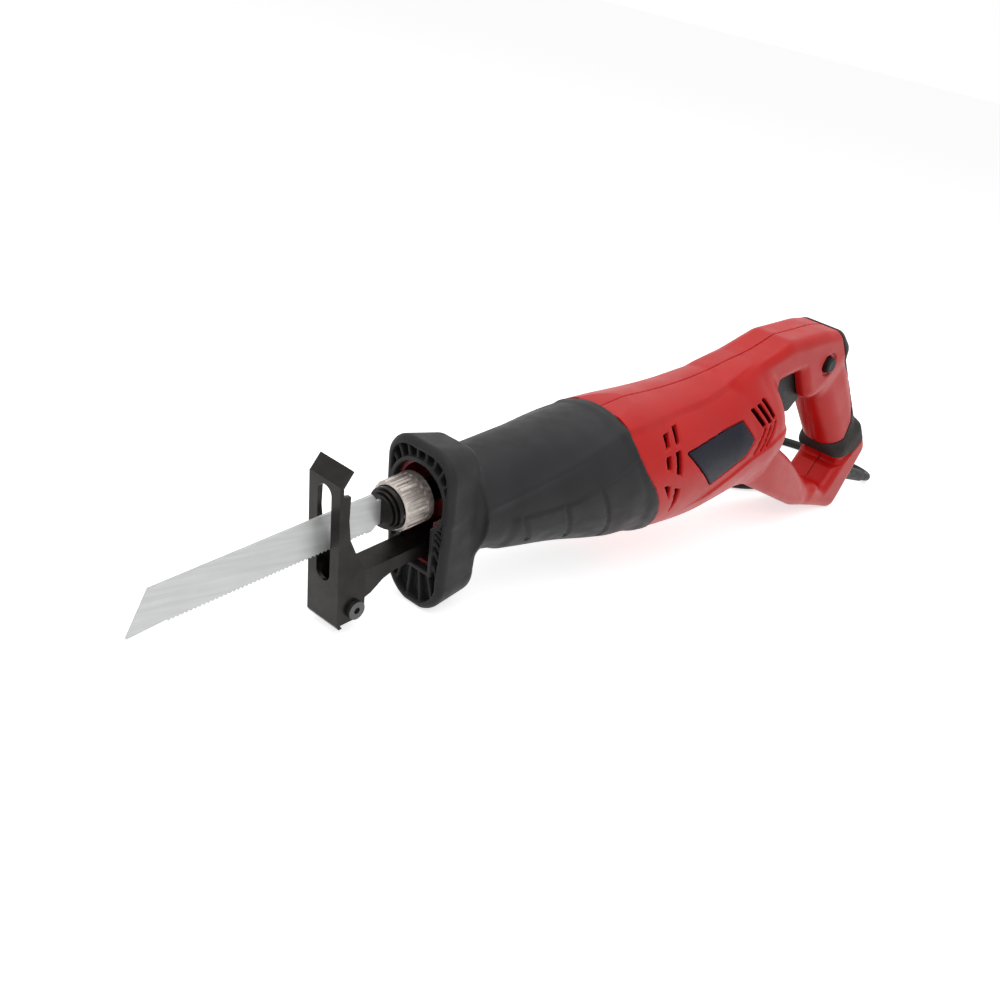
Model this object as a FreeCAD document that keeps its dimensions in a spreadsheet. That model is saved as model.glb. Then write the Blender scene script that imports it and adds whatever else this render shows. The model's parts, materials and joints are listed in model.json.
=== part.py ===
import FreeCAD, Part
import math
import os
import re
import Sketcher

# Corded reciprocating saw. All sizes are millimetres.
#
# The saw is modelled in its own working frame: the plunger's axis is the X axis, +X points back
# to the handle, -Y is the user's left, +Z is up, and the blade clamp's ring sits at the origin.
# At the end every sub-part gets one Placement, the stance, which tips the nose down so that the
# saw stands on its boot and on the corner of its handle, with Z = 0 on the bench.

V = FreeCAD.Vector
X_AXIS, Y_AXIS, Z_AXIS = V(1, 0, 0), V(0, 1, 0), V(0, 0, 1)

doc = FreeCAD.newDocument("ReciprocatingSaw")
sheet = doc.addObject("Spreadsheet::Sheet", "Sizes")

# ---------------------------------------------------------------------------------------------
# Driving dimensions: alias and value
# ---------------------------------------------------------------------------------------------
SIZES = {
    # clearances
    "run_gap": 0.05,            # radial gap of a shaft in its bush or bearing
    "free_gap": 0.3,            # gap between pieces that move past each other
    "case_rod_gap": 1.2,        # round the plunger behind its bush
    "seat_gap": 0.1,            # gap between pieces that are fastened together
    # blade
    "blade_reach": 132.0,       # ring centre to the blade's upper tip corner
    "blade_tip_slant": 11.0,    # how far the lower tip corner leads the upper one
    "blade_width": 19.0,
    "blade_thickness": 1.3,
    "blade_centre_height": 1.0,
    "tooth_pitch": 2.1,
    "tooth_depth": 1.1,
    "tang_width": 12.6,
    "tang_start": 15.0,         # ring centre to the tang's shoulder
    "tang_hole_radius": 1.9,
    "lock_pin_radius": 1.5,
    # blade clamp
    "collar_radius": 12.3,
    "collar_front": 7.0,
    "collar_back": 9.0,
    "collar_wall": 1.7,
    "flute_radius": 1.3,
    "sleeve_front": 13.0,
    "sleeve_step": 1.1,
    "clamp_spring_wire": 0.6,
    "clamp_spring_radius": 7.1,
    # plunger
    "plunger_radius": 6.0,
    "plunger_stroke": 20.0,
    "crosshead_front": 66.0,
    "crosshead_length": 20.0,
    "crosshead_width": 14.0,
    "crosshead_top": 4.5,
    "crosshead_bottom": 8.0,
    "bush_radius": 9.5,
    "bush_front": 40.0,
    "bush_length": 22.0,
    # shoe
    "shoe_front": 45.0,         # ring centre to the shoe's cutting face
    "shoe_width": 20.4,
    "shoe_sheet": 2.0,
    "shoe_top": 28.5,
    "shoe_bottom": 43.5,
    "shoe_slot_width": 9.0,
    "shoe_slot_top": 25.5,
    "shoe_slot_bottom": 23.0,
    "shoe_lip": 8.5,
    "pivot_back": 35.2,
    "pivot_drop": 37.5,
    "pivot_radius": 2.5,
    "bar_width": 13.0,
    "bar_top_drop": 23.0,
    "bar_height": 7.0,
    "bar_sheet": 2.0,
    "bar_end": 46.0,
    "bar_travel": 16.0,
    # boot flange
    "flange_front": 10.0,
    "flange_depth": 25.0,
    "flange_half_width": 22.0,
    "flange_top": 27.0,
    "flange_bottom": 62.0,
    "flange_lobe_radius": 19.0,
    "nose_radius": 16.5,        # round part of the keyhole in the flange
    "keyhole_half_width": 9.5,
    "keyhole_bottom": 37.5,
    "nose_wall": 1.8,
    "nose_floor": 2.4,
    # body sections: distance back, height of the centre and radius
    "neck_x": 34.0, "neck_z": -12.0, "neck_size": 25.0,
    "nose_x": 60.0, "nose_z": -16.0, "nose_size": 28.0,
    "belly_x": 90.0, "belly_z": -20.5, "belly_size": 31.3,
    "waist_x": 120.0, "waist_z": -26.0, "waist_size": 35.4,
    "shoulder_x": 150.0, "shoulder_z": -32.0, "shoulder_size": 38.0,
    "motor_x": 180.0, "motor_z": -37.0, "motor_size": 38.8,
    "middle_x": 210.0, "middle_z": -39.0, "middle_size": 38.0,
    "tail_x": 240.0, "tail_z": -39.0, "tail_size": 37.4,
    "rump_x": 264.0, "rump_z": -39.5, "rump_size": 36.6,
    "heel_x": 279.0, "heel_z": -40.0, "heel_size": 32.5,
    "stern_x": 287.0, "stern_z": -41.0, "stern_size": 26.0,
    "boot_wall": 2.2,
    "case_wall": 2.8,
    "shell_wall": 2.7,
    "boot_edge_top_x": 136.0,   # where the boot ends, along its top and along its bottom
    "boot_edge_bottom_x": 163.0,
    "case_nose": 34.5,          # where the case's nose and the keyhole's lining end
    "bumper_rim": 4.0,          # the flange's face: rim, recess and radial ribs
    "bumper_recess": 5.0,
    "bumper_rib": 1.5,
    "bumper_rib_drop": 1.2,
    "cavity_front": 71.0,
    "bulkhead_front": 118.0,
    "bulkhead_thickness": 8.0,
    # D handle
    "handle_width": 34.0,
    "handle_wall": 3.2,
    "handle_round": 6.5,
    "corner_round": 8.0,
    "handle_top": -3.5,
    "handle_top_back": 352.0,
    "grip_back_x": 373.0, "grip_back_z": -20.0,
    "corner_back_x": 431.0, "corner_back_z": -107.0,
    "corner_low_x": 400.0, "corner_low_z": -147.0,
    "branch_low_x": 335.0, "branch_low_z": -119.0,
    "branch_root_x": 258.0, "branch_root_z": -72.0,
    "loop_front_x": 292.0,
    "loop_top": -19.0,
    "loop_low_x": 285.0, "loop_low_z": -64.0,
    "loop_corner_x": 333.0, "loop_corner_z": -95.0,
    "grip_low_x": 353.0, "grip_low_z": -77.0,
    "grip_front_x": 327.0, "grip_front_z": -40.0,
    "overmould_thickness": 1.6,
    "overmould_strip": 13.0,
    "band_top_z": -72.0,
    "band_bottom_z": -88.0,
    # trigger, dial, switch and lock button
    "trigger_width": 16.0,
    "trigger_length": 31.0,
    "trigger_reach": 15.0,
    "trigger_travel": 6.0,
    "dial_radius": 5.5,
    "dial_thickness": 2.4,
    "button_x": 346.0, "button_z": -21.0,
    "button_radius": 5.0,
    "button_rise": 2.5,
    "button_length": 9.5,
    "switch_length": 44.0,
    "switch_depth": 15.0,
    "switch_width": 14.0,
    # gear train
    "wobble_axis_drop": 28.0,
    "wobble_hub_radius": 9.0,
    "wobble_ring_radius": 13.5,
    "wobble_ring_width": 10.0,
    "wobble_neck_radius": 1.8,
    "wobble_ball_radius": 3.0,
    "shaft_radius": 4.0,
    "gear_module": 0.8,
    "pinion_teeth": 7,
    "gear_teeth": 39,
    "gear_front": 103.0,
    "gear_width": 9.0,
    "gear_backlash": 0.4,
    "bearing_radius": 8.0,
    "bearing_width": 6.0,
    "motor_bearing_radius": 9.5,
    "motor_bearing_width": 7.0,
    # motor
    "fan_front": 156.0, "fan_width": 11.0, "fan_radius": 20.0, "fan_blades": 11,
    "stator_front": 181.0, "stator_length": 43.0, "stator_radius": 25.5, "stator_bore": 15.6,
    "core_radius": 15.1, "core_slots": 12,
    "coil_overhang": 7.5,
    "commutator_front": 234.0, "commutator_length": 14.0, "commutator_radius": 11.0,
    "commutator_bars": 24,
    "rear_bearing_front": 256.0,
    "brush_width": 6.0, "brush_depth": 9.0, "brush_length": 10.0,
    # cord
    "cord_radius": 3.2,
    "relief_length": 58.0,
    "relief_root_radius": 6.2,
    "relief_tip_radius": 4.2,
    "relief_fall": 25.0,        # degrees below the plunger's direction
}

for row, (alias, value) in enumerate(SIZES.items(), start=1):
    sheet.set(f"A{row}", alias.replace("_", " "))
    sheet.set(f"B{row}", str(value))
    sheet.setAlias(f"B{row}", alias)
doc.recompute()


def size(alias):
    """The value of a driving dimension, read from the sheet."""
    return float(sheet.get(alias))


def ex(text):
    """A formula in plain aliases, as the expression engine reads it."""
    return re.sub(r"[a-z][a-z_]*", lambda m: "Sizes." + m.group() if m.group() in SIZES else m.group(),
                  text)


def value(text):
    """The number that a formula in plain aliases gives now."""
    return float(sheet.evalExpression(ex(text)))


# ---------------------------------------------------------------------------------------------
# Building blocks
# ---------------------------------------------------------------------------------------------
TURNS = {"x": FreeCAD.Rotation(Y_AXIS, 90), "y": FreeCAD.Rotation(X_AXIS, -90), "z": FreeCAD.Rotation()}


def place(part, x="0", y="0", z="0"):
    """Bind the part's position to three formulas."""
    for axis, formula in (("x", x), ("y", y), ("z", z)):
        part.setExpression("Placement.Base." + axis, ex(formula))
    return part


def box(name, x, y, z):
    """A block between two formulas along each axis."""
    part = doc.addObject("Part::Box", name)
    for prop, (low, high) in (("Length", x), ("Width", y), ("Height", z)):
        part.setExpression(prop, ex(f"({high}) - ({low})"))
    return place(part, x[0], y[0], z[0])


def rod(name, axis, radius, span, x="0", y="0", z="0"):
    """A cylinder along an axis, between two formulas."""
    part = doc.addObject("Part::Cylinder", name)
    part.Placement.Rotation = TURNS[axis]
    part.setExpression("Radius", ex(radius))
    part.setExpression("Height", ex(f"({span[1]}) - ({span[0]})"))
    spot = {"x": x, "y": y, "z": z}
    spot[axis] = span[0]
    return place(part, **spot)


def taper(name, axis, radii, span, x="0", y="0", z="0"):
    """A cone along an axis, with a radius at each end."""
    part = doc.addObject("Part::Cone", name)
    part.Placement.Rotation = TURNS[axis]
    part.setExpression("Radius1", ex(radii[0]))
    part.setExpression("Radius2", ex(radii[1]))
    part.setExpression("Height", ex(f"({span[1]}) - ({span[0]})"))
    spot = {"x": x, "y": y, "z": z}
    spot[axis] = span[0]
    return place(part, **spot)


def fuse(name, *parts):
    """One solid of several that overlap."""
    part = doc.addObject("Part::MultiFuse", name)
    part.Refine = False
    part.Shapes = list(parts)
    return part


def cut(name, base, *tools):
    """The base less every tool."""
    part = doc.addObject("Part::Cut", name)
    part.Refine = False
    part.Base = base
    part.Tool = tools[0] if len(tools) == 1 else fuse(name + "_tools", *tools)
    return part


def common(name, first, second):
    """What two solids share."""
    part = doc.addObject("Part::Common", name)
    part.Refine = False
    part.Base, part.Tool = first, second
    return part


def ring(name, axis, outer, inner, span, x="0", y="0", z="0"):
    """A round tube along an axis."""
    spot = {"x": x, "y": y, "z": z}
    return cut(name, rod(name + "_outer", axis, outer, span, **spot),
               rod(name + "_bore", axis, inner, span, **spot))


def outline(name, points, loops=()):
    """A closed sketch in the X-Z plane, with holes where loops are given: points are pairs of formulas."""
    sketch = doc.addObject("Sketcher::SketchObject", name)
    sketch.Placement.Rotation = FreeCAD.Rotation(X_AXIS, 90)
    for ring_points in (points,) + tuple(loops):
        first = sketch.GeometryCount
        corners = [(value(across), value(up)) for across, up in ring_points]
        count = len(corners)
        for i in range(count):
            start, end = corners[i], corners[(i + 1) % count]
            sketch.addGeometry(Part.LineSegment(V(start[0], start[1], 0), V(end[0], end[1], 0)), False)
        for i in range(count):
            constrain(sketch, "Coincident", first + i, 2, first + (i + 1) % count, 1)
        for i, (across, up) in enumerate(ring_points):
            bind_place(sketch, "DistanceX", first + i, corners[i][0], across)
            bind_place(sketch, "DistanceY", first + i, corners[i][1], up)
    return sketch


def constrain(sketch, *facts):
    """Add one constraint and give its number."""
    return sketch.addConstraint(Sketcher.Constraint(*facts))


def bind_place(sketch, kind, edge, now, formula):
    """Tie one coordinate of an edge's start to a formula."""
    number = constrain(sketch, kind, edge, 1, now)
    sketch.setExpression(f"Constraints[{number}]", ex(formula))


def slab(name, sketch, half_width, centre="0"):
    """A sketch of the X-Z plane, thickened equally to both sides of a centre plane."""
    part = doc.addObject("Part::Extrusion", name)
    part.Base = sketch
    part.DirMode = "Custom"
    part.Dir = Y_AXIS
    part.Solid = True
    part.setExpression("LengthFwd", ex(f"({half_width}) + ({centre})"))
    part.setExpression("LengthRev", ex(f"({half_width}) - ({centre})"))
    return part


def rounded(name, base, radius, wanted):
    """The base with the edges for which wanted(edge) is true rounded to a radius."""
    doc.recompute()
    part = doc.addObject("Part::Fillet", name)
    part.Base = base
    part.Edges = [(i, radius, radius) for i, edge in enumerate(base.Shape.Edges, start=1) if wanted(edge)]
    return part


def along(direction):
    """A test for straight edges along a direction."""
    def test(edge):
        if edge.Curve.TypeId != "Part::GeomLine":
            return False
        return abs(abs(edge.tangentAt(edge.FirstParameter).dot(direction)) - 1) < 1e-6
    return test


STATIONS = ("neck", "nose", "belly", "waist", "shoulder", "motor", "middle", "tail", "rump", "heel",
            "stern")


def body_loft(name, inset):
    """The round body from neck to stern, its skin moved in by an inset."""
    circles = []
    for station in STATIONS:
        circle = doc.addObject("Part::Circle", f"{name}_{station}")
        circle.Placement.Rotation = TURNS["x"]
        circle.setExpression("Radius", ex(f"{station}_size - ({inset})"))
        circles.append(place(circle, x=f"{station}_x", z=f"{station}_z"))
    part = doc.addObject("Part::Loft", name)
    part.Sections = circles
    part.Solid = True
    return part


NODES = []


def node(label, *parts):
    """A sub-part under its own name: one solid, or a set of equal ones."""
    group = doc.addObject("Part::Compound", "node_" + label)
    group.Label = label
    group.Links = list(parts)
    NODES.append(group)
    return group


# ---------------------------------------------------------------------------------------------
# Blade, clamp and plunger
# ---------------------------------------------------------------------------------------------
def blade():
    """A slant-tipped blade with teeth on its lower edge and a narrow tang with a hole."""
    top = "blade_centre_height + blade_width / 2"
    low = "blade_centre_height - blade_width / 2"
    points = [("-blade_reach - blade_tip_slant", low), ("-blade_reach", top), ("-tang_start - 3", top)]
    points += [("-tang_start", "tang_width / 2"), ("-1", "tang_width / 2"), ("-1", "-tang_width / 2")]
    points += [("-tang_start", "-tang_width / 2"), ("-tang_start - 3", low)]
    pitch = size("tooth_pitch")
    count = int((size("blade_reach") - size("tang_start") - 12) / pitch)
    for i in range(count):
        points.append((f"-tang_start - 6 - {i} * tooth_pitch", low))
        points.append((f"-tang_start - 6 - {i} * tooth_pitch - tooth_pitch * 0.35", low + " + tooth_depth"))
    steel = slab("blade_steel", outline("blade_outline", points), "blade_thickness / 2")
    hole = rod("tang_hole", "y", "tang_hole_radius", ("-blade_thickness", "blade_thickness"), x="-6")
    return cut("blade_cut", steel, hole)


def collar():
    """The twist ring of the blade clamp: flutes along its grip and a plain rim behind."""
    grip = rod("collar_grip", "x", "collar_radius", ("-collar_front + 1.2", "collar_back - 3"))
    nose = taper("collar_nose", "x", ("collar_radius - 1.3", "collar_radius"),
                 ("-collar_front", "-collar_front + 1.2"))
    rim = rod("collar_rim", "x", "collar_radius", ("collar_back - 3", "collar_back"))
    bore = rod("collar_bore", "x", "collar_radius - collar_wall", ("-collar_front", "collar_back"))
    flutes = []
    count = 20
    for i in range(count):
        turn = f"{360 / count * i}"
        across, up = f"(collar_radius + 0.55) * cos({turn})", f"(collar_radius + 0.55) * sin({turn})"
        flutes.append(rod(f"flute_{i}", "x", "flute_radius", ("-collar_front - 1", "collar_back - 3.4"),
                          y=across, z=up))
    return cut("collar_cut", fuse("collar_solid", grip, nose, rim), bore, *flutes)


def sleeve():
    """The black sleeve inside the ring: a stepped nose, and a slot for the blade."""
    radius = "collar_radius - collar_wall - free_gap"
    barrel = rod("sleeve_barrel", "x", radius, ("-sleeve_front + 3.4", "collar_back - 4"))
    step = rod("sleeve_step_one", "x", f"{radius} - sleeve_step",
               ("-sleeve_front + 1.5", "-sleeve_front + 3.4"))
    tip = rod("sleeve_step_two", "x", f"{radius} - 2 * sleeve_step",
              ("-sleeve_front", "-sleeve_front + 1.5"))
    slot = box("sleeve_slot", ("-sleeve_front - 1", "0"),
               ("-blade_thickness / 2 - 0.2", "blade_thickness / 2 + 0.2"),
               ("-tang_width / 2 - 0.3", "tang_width / 2 + 0.3"))
    bore = rod("sleeve_bore", "x", "plunger_radius", ("0", "collar_back"))
    pin = rod("sleeve_pin_hole", "y", "lock_pin_radius", (f"-({radius})", radius), x="-6")
    return cut("sleeve_cut", fuse("sleeve_solid", barrel, step, tip), slot, bore, pin)


def plunger():
    """A round rod with a crosshead, slotted for the wobble arm's ball."""
    back = "crosshead_front + crosshead_length"
    rod_part = rod("plunger_rod", "x", "plunger_radius", ("0", "crosshead_front + 1"))
    head = box("crosshead", ("crosshead_front", back), ("-crosshead_width / 2", "crosshead_width / 2"),
               ("-crosshead_bottom", "crosshead_top"))
    middle = "crosshead_front + crosshead_length / 2"
    reach = "wobble_ball_radius + free_gap"
    slot = box("ball_slot", (f"{middle} - ({reach})", f"{middle} + {reach}"),
               (f"-({reach}) - 0.1", f"{reach} + 0.1"),
               ("-crosshead_bottom - 1", "crosshead_top + 1"))
    mouth = box("slot_mouth", (f"{middle} - 5.6", f"{middle} + 5.6"),
                (f"-({reach}) - 0.1", f"{reach} + 0.1"),
                ("-crosshead_bottom - 1", "-crosshead_bottom + 3.5"))
    return cut("plunger_cut", fuse("plunger_solid", rod_part, head), slot, mouth)


def spring_around(name, radius, wire, start, end, turns):
    """A closed-end coil of round wire about the plunger's axis."""
    helix = Part.makeHelix((end - start) / turns, end - start, radius)
    circle = Part.Circle(V(radius, 0, 0), Y_AXIS, wire)
    pipe = Part.Wire(helix).makePipeShell([Part.Wire(circle.toShape())], True, True)
    part = doc.addObject("Part::Feature", name)
    part.Shape = pipe
    part.Placement = FreeCAD.Placement(V(start, 0, 0), TURNS["x"])
    return part


node("blade", blade())
node("blade_clamp_collar", collar())
node("blade_clamp_sleeve", sleeve())
node("blade_lock_pin", rod("lock_pin", "y", "lock_pin_radius",
                           ("-(collar_radius - collar_wall - free_gap)",
                            "collar_radius - collar_wall - free_gap"), x="-6"))
node("clamp_spring", spring_around("clamp_coil", size("clamp_spring_radius"), size("clamp_spring_wire"),
                                   size("collar_back") - 3, size("collar_back") + 2, 3))
node("plunger", plunger())


# ---------------------------------------------------------------------------------------------
# Shoe
# ---------------------------------------------------------------------------------------------
def shoe():
    """The shoe: a cutting face with a long slot for the blade, two side flanges and bent lips."""
    face = box("shoe_face", ("-shoe_front", "-shoe_front + shoe_sheet"),
               ("-shoe_width / 2", "shoe_width / 2"),
               ("-shoe_bottom", "shoe_top"))
    slot_radius = "shoe_slot_width / 2"
    slot = fuse("shoe_slot",
                box("slot_middle", ("-shoe_front - 1", "-shoe_front + shoe_sheet + 1"),
                    (f"-{slot_radius}", slot_radius),
                    (f"-shoe_slot_bottom + {slot_radius}", f"shoe_slot_top - {slot_radius}")),
                rod("slot_top", "x", slot_radius, ("-shoe_front - 1", "-shoe_front + shoe_sheet + 1"),
                    z=f"shoe_slot_top - {slot_radius}"),
                rod("slot_foot", "x", slot_radius, ("-shoe_front - 1", "-shoe_front + shoe_sheet + 1"),
                    z=f"-shoe_slot_bottom + {slot_radius}"))
    edge = [("-shoe_front", "-shoe_bottom"), ("-shoe_front", "shoe_top - 5"),
            ("-shoe_front + 6", "shoe_top - 6.5"),
            ("-shoe_front + 5.5", "10"), ("-shoe_front + 6.5", "0"), ("-pivot_back + 0.5", "-9"),
            ("-pivot_back + 5", "-17"), ("-pivot_back + 6.5", "-27"), ("-pivot_back + 6",
                                                                       "-pivot_drop - 2"),
            ("-pivot_back + 2", "-shoe_bottom")]
    plate = slab("flange_plate", outline("flange_edge", edge), "shoe_width / 2")
    hollow = box("flange_hollow", ("-shoe_front - 1", "0"),
                 ("-shoe_width / 2 + shoe_sheet", "shoe_width / 2 - shoe_sheet"),
                 ("-shoe_bottom - 1", "shoe_top + 1"))
    flanges = cut("shoe_flanges", plate, hollow)
    lip_points = [("-shoe_front", "shoe_top - 0.5"),
                  ("-shoe_front + shoe_lip * 0.7", "shoe_top + shoe_lip * 0.75"),
                  ("-shoe_front + shoe_lip * 0.7 + 1.4", "shoe_top + shoe_lip * 0.75 - 1.4"),
                  ("-shoe_front + shoe_sheet", "shoe_top - 1.4")]
    lip = slab("shoe_lip_plate", outline("lip_edge", lip_points), "shoe_width / 2")
    tab_points = [("-shoe_front", "-shoe_bottom"), ("-shoe_front + shoe_sheet", "-shoe_bottom"),
                  ("-shoe_front + shoe_sheet + 1.2", "-shoe_bottom - 2"), ("-shoe_front + 1.2",
                                                                           "-shoe_bottom - 2")]
    tab = slab("shoe_tab", outline("tab_edge", tab_points), "shoe_width / 2")
    hole = rod("pivot_hole", "y", "pivot_radius + run_gap", ("-shoe_width", "shoe_width"), x="-pivot_back",
               z="-pivot_drop")
    return cut("shoe_cut", fuse("shoe_solid", face, flanges, lip, tab), slot, hole)


def shoe_bar():
    """The channel that carries the shoe: a folded strip whose front ends in two pivot ears."""
    web = [("-pivot_back - 1", "-pivot_drop - 5.5"), ("-pivot_back - 5.5", "-pivot_drop - 1"),
           ("-pivot_back - 5.5", "-pivot_drop + 2"),
           ("-pivot_back + 5", "-bar_top_drop"), ("bar_end", "-bar_top_drop"), ("bar_end",
                                                                                "-bar_top_drop - bar_height"),
           ("-8", "-bar_top_drop - bar_height"), ("-15", "-bar_top_drop - bar_height - 2"),
           ("-22", "-bar_top_drop - bar_height - 6.5"), ("-pivot_back + 6.5",
                                                         "-pivot_drop - 1"), ("-pivot_back + 3.5",
                                                         "-pivot_drop - 5")]
    solid = slab("bar_solid", outline("bar_edge", web), "bar_width / 2")
    hollow = [("-pivot_back - 8", "-pivot_drop - 8"), ("-pivot_back - 8", "-pivot_drop + 7"),
              ("-pivot_back + 7", "-bar_top_drop - bar_sheet"), ("bar_end + 1",
                                                                 "-bar_top_drop - bar_sheet"),
              ("bar_end + 1", "-pivot_drop - 8")]
    inside = slab("bar_inside", outline("bar_hollow", hollow), "bar_width / 2 - bar_sheet")
    hole = rod("ear_hole", "y", "pivot_radius + run_gap", ("-bar_width", "bar_width"), x="-pivot_back",
               z="-pivot_drop")
    return cut("bar_cut", solid, inside, hole)


def pivot_screw():
    """Shouldered screw through the shoe's flanges and the bar's ears, with a socket head."""
    shank = rod("pivot_shank", "y", "pivot_radius", ("-shoe_width / 2 - seat_gap", "shoe_width / 2 + 3.5"),
                x="-pivot_back", z="-pivot_drop")
    head = rod("pivot_head", "y", "pivot_radius + 2",
               ("-shoe_width / 2 - 2.2", "-shoe_width / 2 - seat_gap"), x="-pivot_back", z="-pivot_drop")
    socket = doc.addObject("Part::Prism", "pivot_socket")
    socket.Placement.Rotation = TURNS["y"]
    socket.Polygon = 6
    socket.setExpression("Circumradius", ex("pivot_radius * 0.72"))
    socket.Height = 1.6
    place(socket, x="-pivot_back", y="-shoe_width / 2 - 2.3", z="-pivot_drop")
    return cut("pivot_cut", fuse("pivot_solid", shank, head), socket)


def pivot_nut():
    """Hexagon nut on the far end of the pivot screw."""
    nut = doc.addObject("Part::Prism", "nut_blank")
    nut.Placement.Rotation = TURNS["y"]
    nut.Polygon = 6
    nut.setExpression("Circumradius", ex("pivot_radius * 1.8"))
    nut.Height = 3
    place(nut, x="-pivot_back", y="shoe_width / 2 + seat_gap", z="-pivot_drop")
    hole = rod("nut_hole", "y", "pivot_radius", ("shoe_width / 2 - 1", "shoe_width / 2 + 6"),
               x="-pivot_back", z="-pivot_drop")
    return cut("nut_cut", nut, hole)


def pivot_spacers():
    """Plain washers that centre the bar between the shoe's flanges."""
    gap = "(shoe_width / 2 - shoe_sheet - bar_width / 2)"
    washers = []
    for name, side in (("left", -1), ("right", 1)):
        low = f"{side} * (bar_width / 2 + {gap} / 2) - {gap} / 2 + 0.15"
        high = f"{side} * (bar_width / 2 + {gap} / 2) + {gap} / 2 - 0.15"
        washers.append(ring("spacer_" + name, "y", "pivot_radius + 1.8", "pivot_radius + run_gap",
                            (low, high),
                            x="-pivot_back", z="-pivot_drop"))
    return washers


node("shoe", shoe())
node("shoe_bar", shoe_bar())
node("shoe_pivot_screw", pivot_screw())
node("shoe_pivot_nut", pivot_nut())
node("shoe_pivot_spacers", *pivot_spacers())


# ---------------------------------------------------------------------------------------------
# Body shells: lofts that share their stations
# ---------------------------------------------------------------------------------------------
def edge_x(height):
    """Where the boot ends at a height: its rear edge is a slanted plane."""
    return (f"boot_edge_top_x + (boot_edge_bottom_x - boot_edge_top_x) * (10 - ({height})) / 85")


def behind_edge(name, start_shift="0"):
    """A wedge that holds everything behind the boot's rear edge."""
    points = [(edge_x("60") + f" + {start_shift}", "60"), (edge_x("-190") + f" + {start_shift}", "-190"),
              ("520", "-190"), ("520", "60")]
    return slab(name, outline(name + "_edge", points), "90")


def keyhole(name, inset, front, back):
    """The opening in the boot's flange: round about the plunger, with a straight foot below it."""
    return fuse(name, rod(name + "_round", "x", f"nose_radius - ({inset})", (front, back)),
                box(name + "_foot", (front, back),
                    (f"-keyhole_half_width + ({inset})", f"keyhole_half_width - ({inset})"),
                    (f"-keyhole_bottom + ({inset})", "0")))


def flange_block(name, inset, front, back):
    """The flange's outline: a rounded top and a round lower lobe with a short flat to stand on."""
    wide = f"flange_half_width - ({inset})"
    upper = box(name + "_upper", (front, back), (f"-({wide})", wide), ("-20", f"flange_top - ({inset})"))
    upper = rounded(name + "_upper_round", upper, size("flange_half_width") * 0.72 - value(inset),
                    lambda edge: along(X_AXIS)(edge) and edge.CenterOfMass.z > 0)
    lobe = rod(name + "_lobe", "x", f"flange_lobe_radius - ({inset})", (front, back),
               z="-flange_bottom + flange_lobe_radius")
    sketch = doc.addObject("Sketcher::SketchObject", name + "_waist_edge")
    sketch.Placement.Rotation = FreeCAD.Rotation(Y_AXIS, Z_AXIS, X_AXIS)
    across = [(f"-({wide})", "-19"), (wide, "-19"),
              (f"flange_lobe_radius - ({inset})", "-flange_bottom + flange_lobe_radius"),
              (f"-(flange_lobe_radius - ({inset}))", "-flange_bottom + flange_lobe_radius")]
    for i in range(4):
        start, end = across[i], across[(i + 1) % 4]
        sketch.addGeometry(Part.LineSegment(V(value(start[0]), value(start[1]), 0),
                                            V(value(end[0]), value(end[1]), 0)), False)
    for i in range(4):
        constrain(sketch, "Coincident", i, 2, (i + 1) % 4, 1)
        bind_place(sketch, "DistanceX", i, value(across[i][0]), across[i][0])
        bind_place(sketch, "DistanceY", i, value(across[i][1]), across[i][1])
    waist = doc.addObject("Part::Extrusion", name + "_waist")
    waist.Base, waist.DirMode, waist.Dir, waist.Solid = sketch, "Custom", X_AXIS, True
    waist.setExpression("LengthFwd", ex(back))
    waist.setExpression("LengthRev", ex(f"-({front})"))
    block = fuse(name, upper, lobe, waist)
    flat = box(name + "_flat", (f"({front}) - 1", f"({back}) + 1"), ("-40", "40"),
               ("-flange_bottom - 40", f"-flange_bottom + 0.9 + ({inset})"))
    return cut(name + "_stood", block, flat)


BUMPER_RIBS = 26
BUMPER_RIB_START, BUMPER_RIB_REACH = 8, 60
BUMPER_CENTRE_HEIGHT = -10


def bumper_rib(number):
    """One radial rib across the recess in the flange's face."""
    rib = doc.addObject("Part::Box", f"bumper_rib_{number}")
    rib.Length = size("bumper_recess") + 1
    rib.Width = size("bumper_rib")
    rib.Height = BUMPER_RIB_REACH
    centre = V(size("flange_front") + size("bumper_rib_drop"), 0, BUMPER_CENTRE_HEIGHT)
    turn = FreeCAD.Placement(centre, FreeCAD.Rotation(X_AXIS, 360 / BUMPER_RIBS * number))
    outwards = FreeCAD.Placement(V(0, -size("bumper_rib") / 2, BUMPER_RIB_START), FreeCAD.Rotation())
    rib.Placement = turn.multiply(outwards)
    return rib


def boot():
    """The rubber boot: a ribbed bumper flange with a keyhole opening, and a sleeve over the gear case."""
    front, back = "flange_front", "flange_front + flange_depth"
    bumper = flange_block("bumper", "0", front, back)
    skin = cut("boot_skin", body_loft("boot_outside", "0"), behind_edge("boot_end"))
    inside = body_loft("boot_inside", "boot_wall")
    recess = flange_block("bumper_recess", "bumper_rim", f"{front} - 1", f"{front} + bumper_recess")
    rim = keyhole("keyhole_rim", "-2.2", f"{front} - 2", f"{front} + bumper_recess")
    groove = cut("bumper_groove", recess, rim)
    ribs = [bumper_rib(number) for number in range(BUMPER_RIBS)]
    groove = cut("bumper_pockets", groove, *ribs)
    opening = keyhole("keyhole", "0", f"{front} - 2", "case_nose")
    hollow_back = common("boot_hollow", inside,
                         box("boot_hollow_box", ("neck_x - 2", "200"), ("-60", "60"), ("-99", "60")))
    return cut("boot_cut", fuse("boot_solid", bumper, skin), hollow_back, groove, opening)


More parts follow.
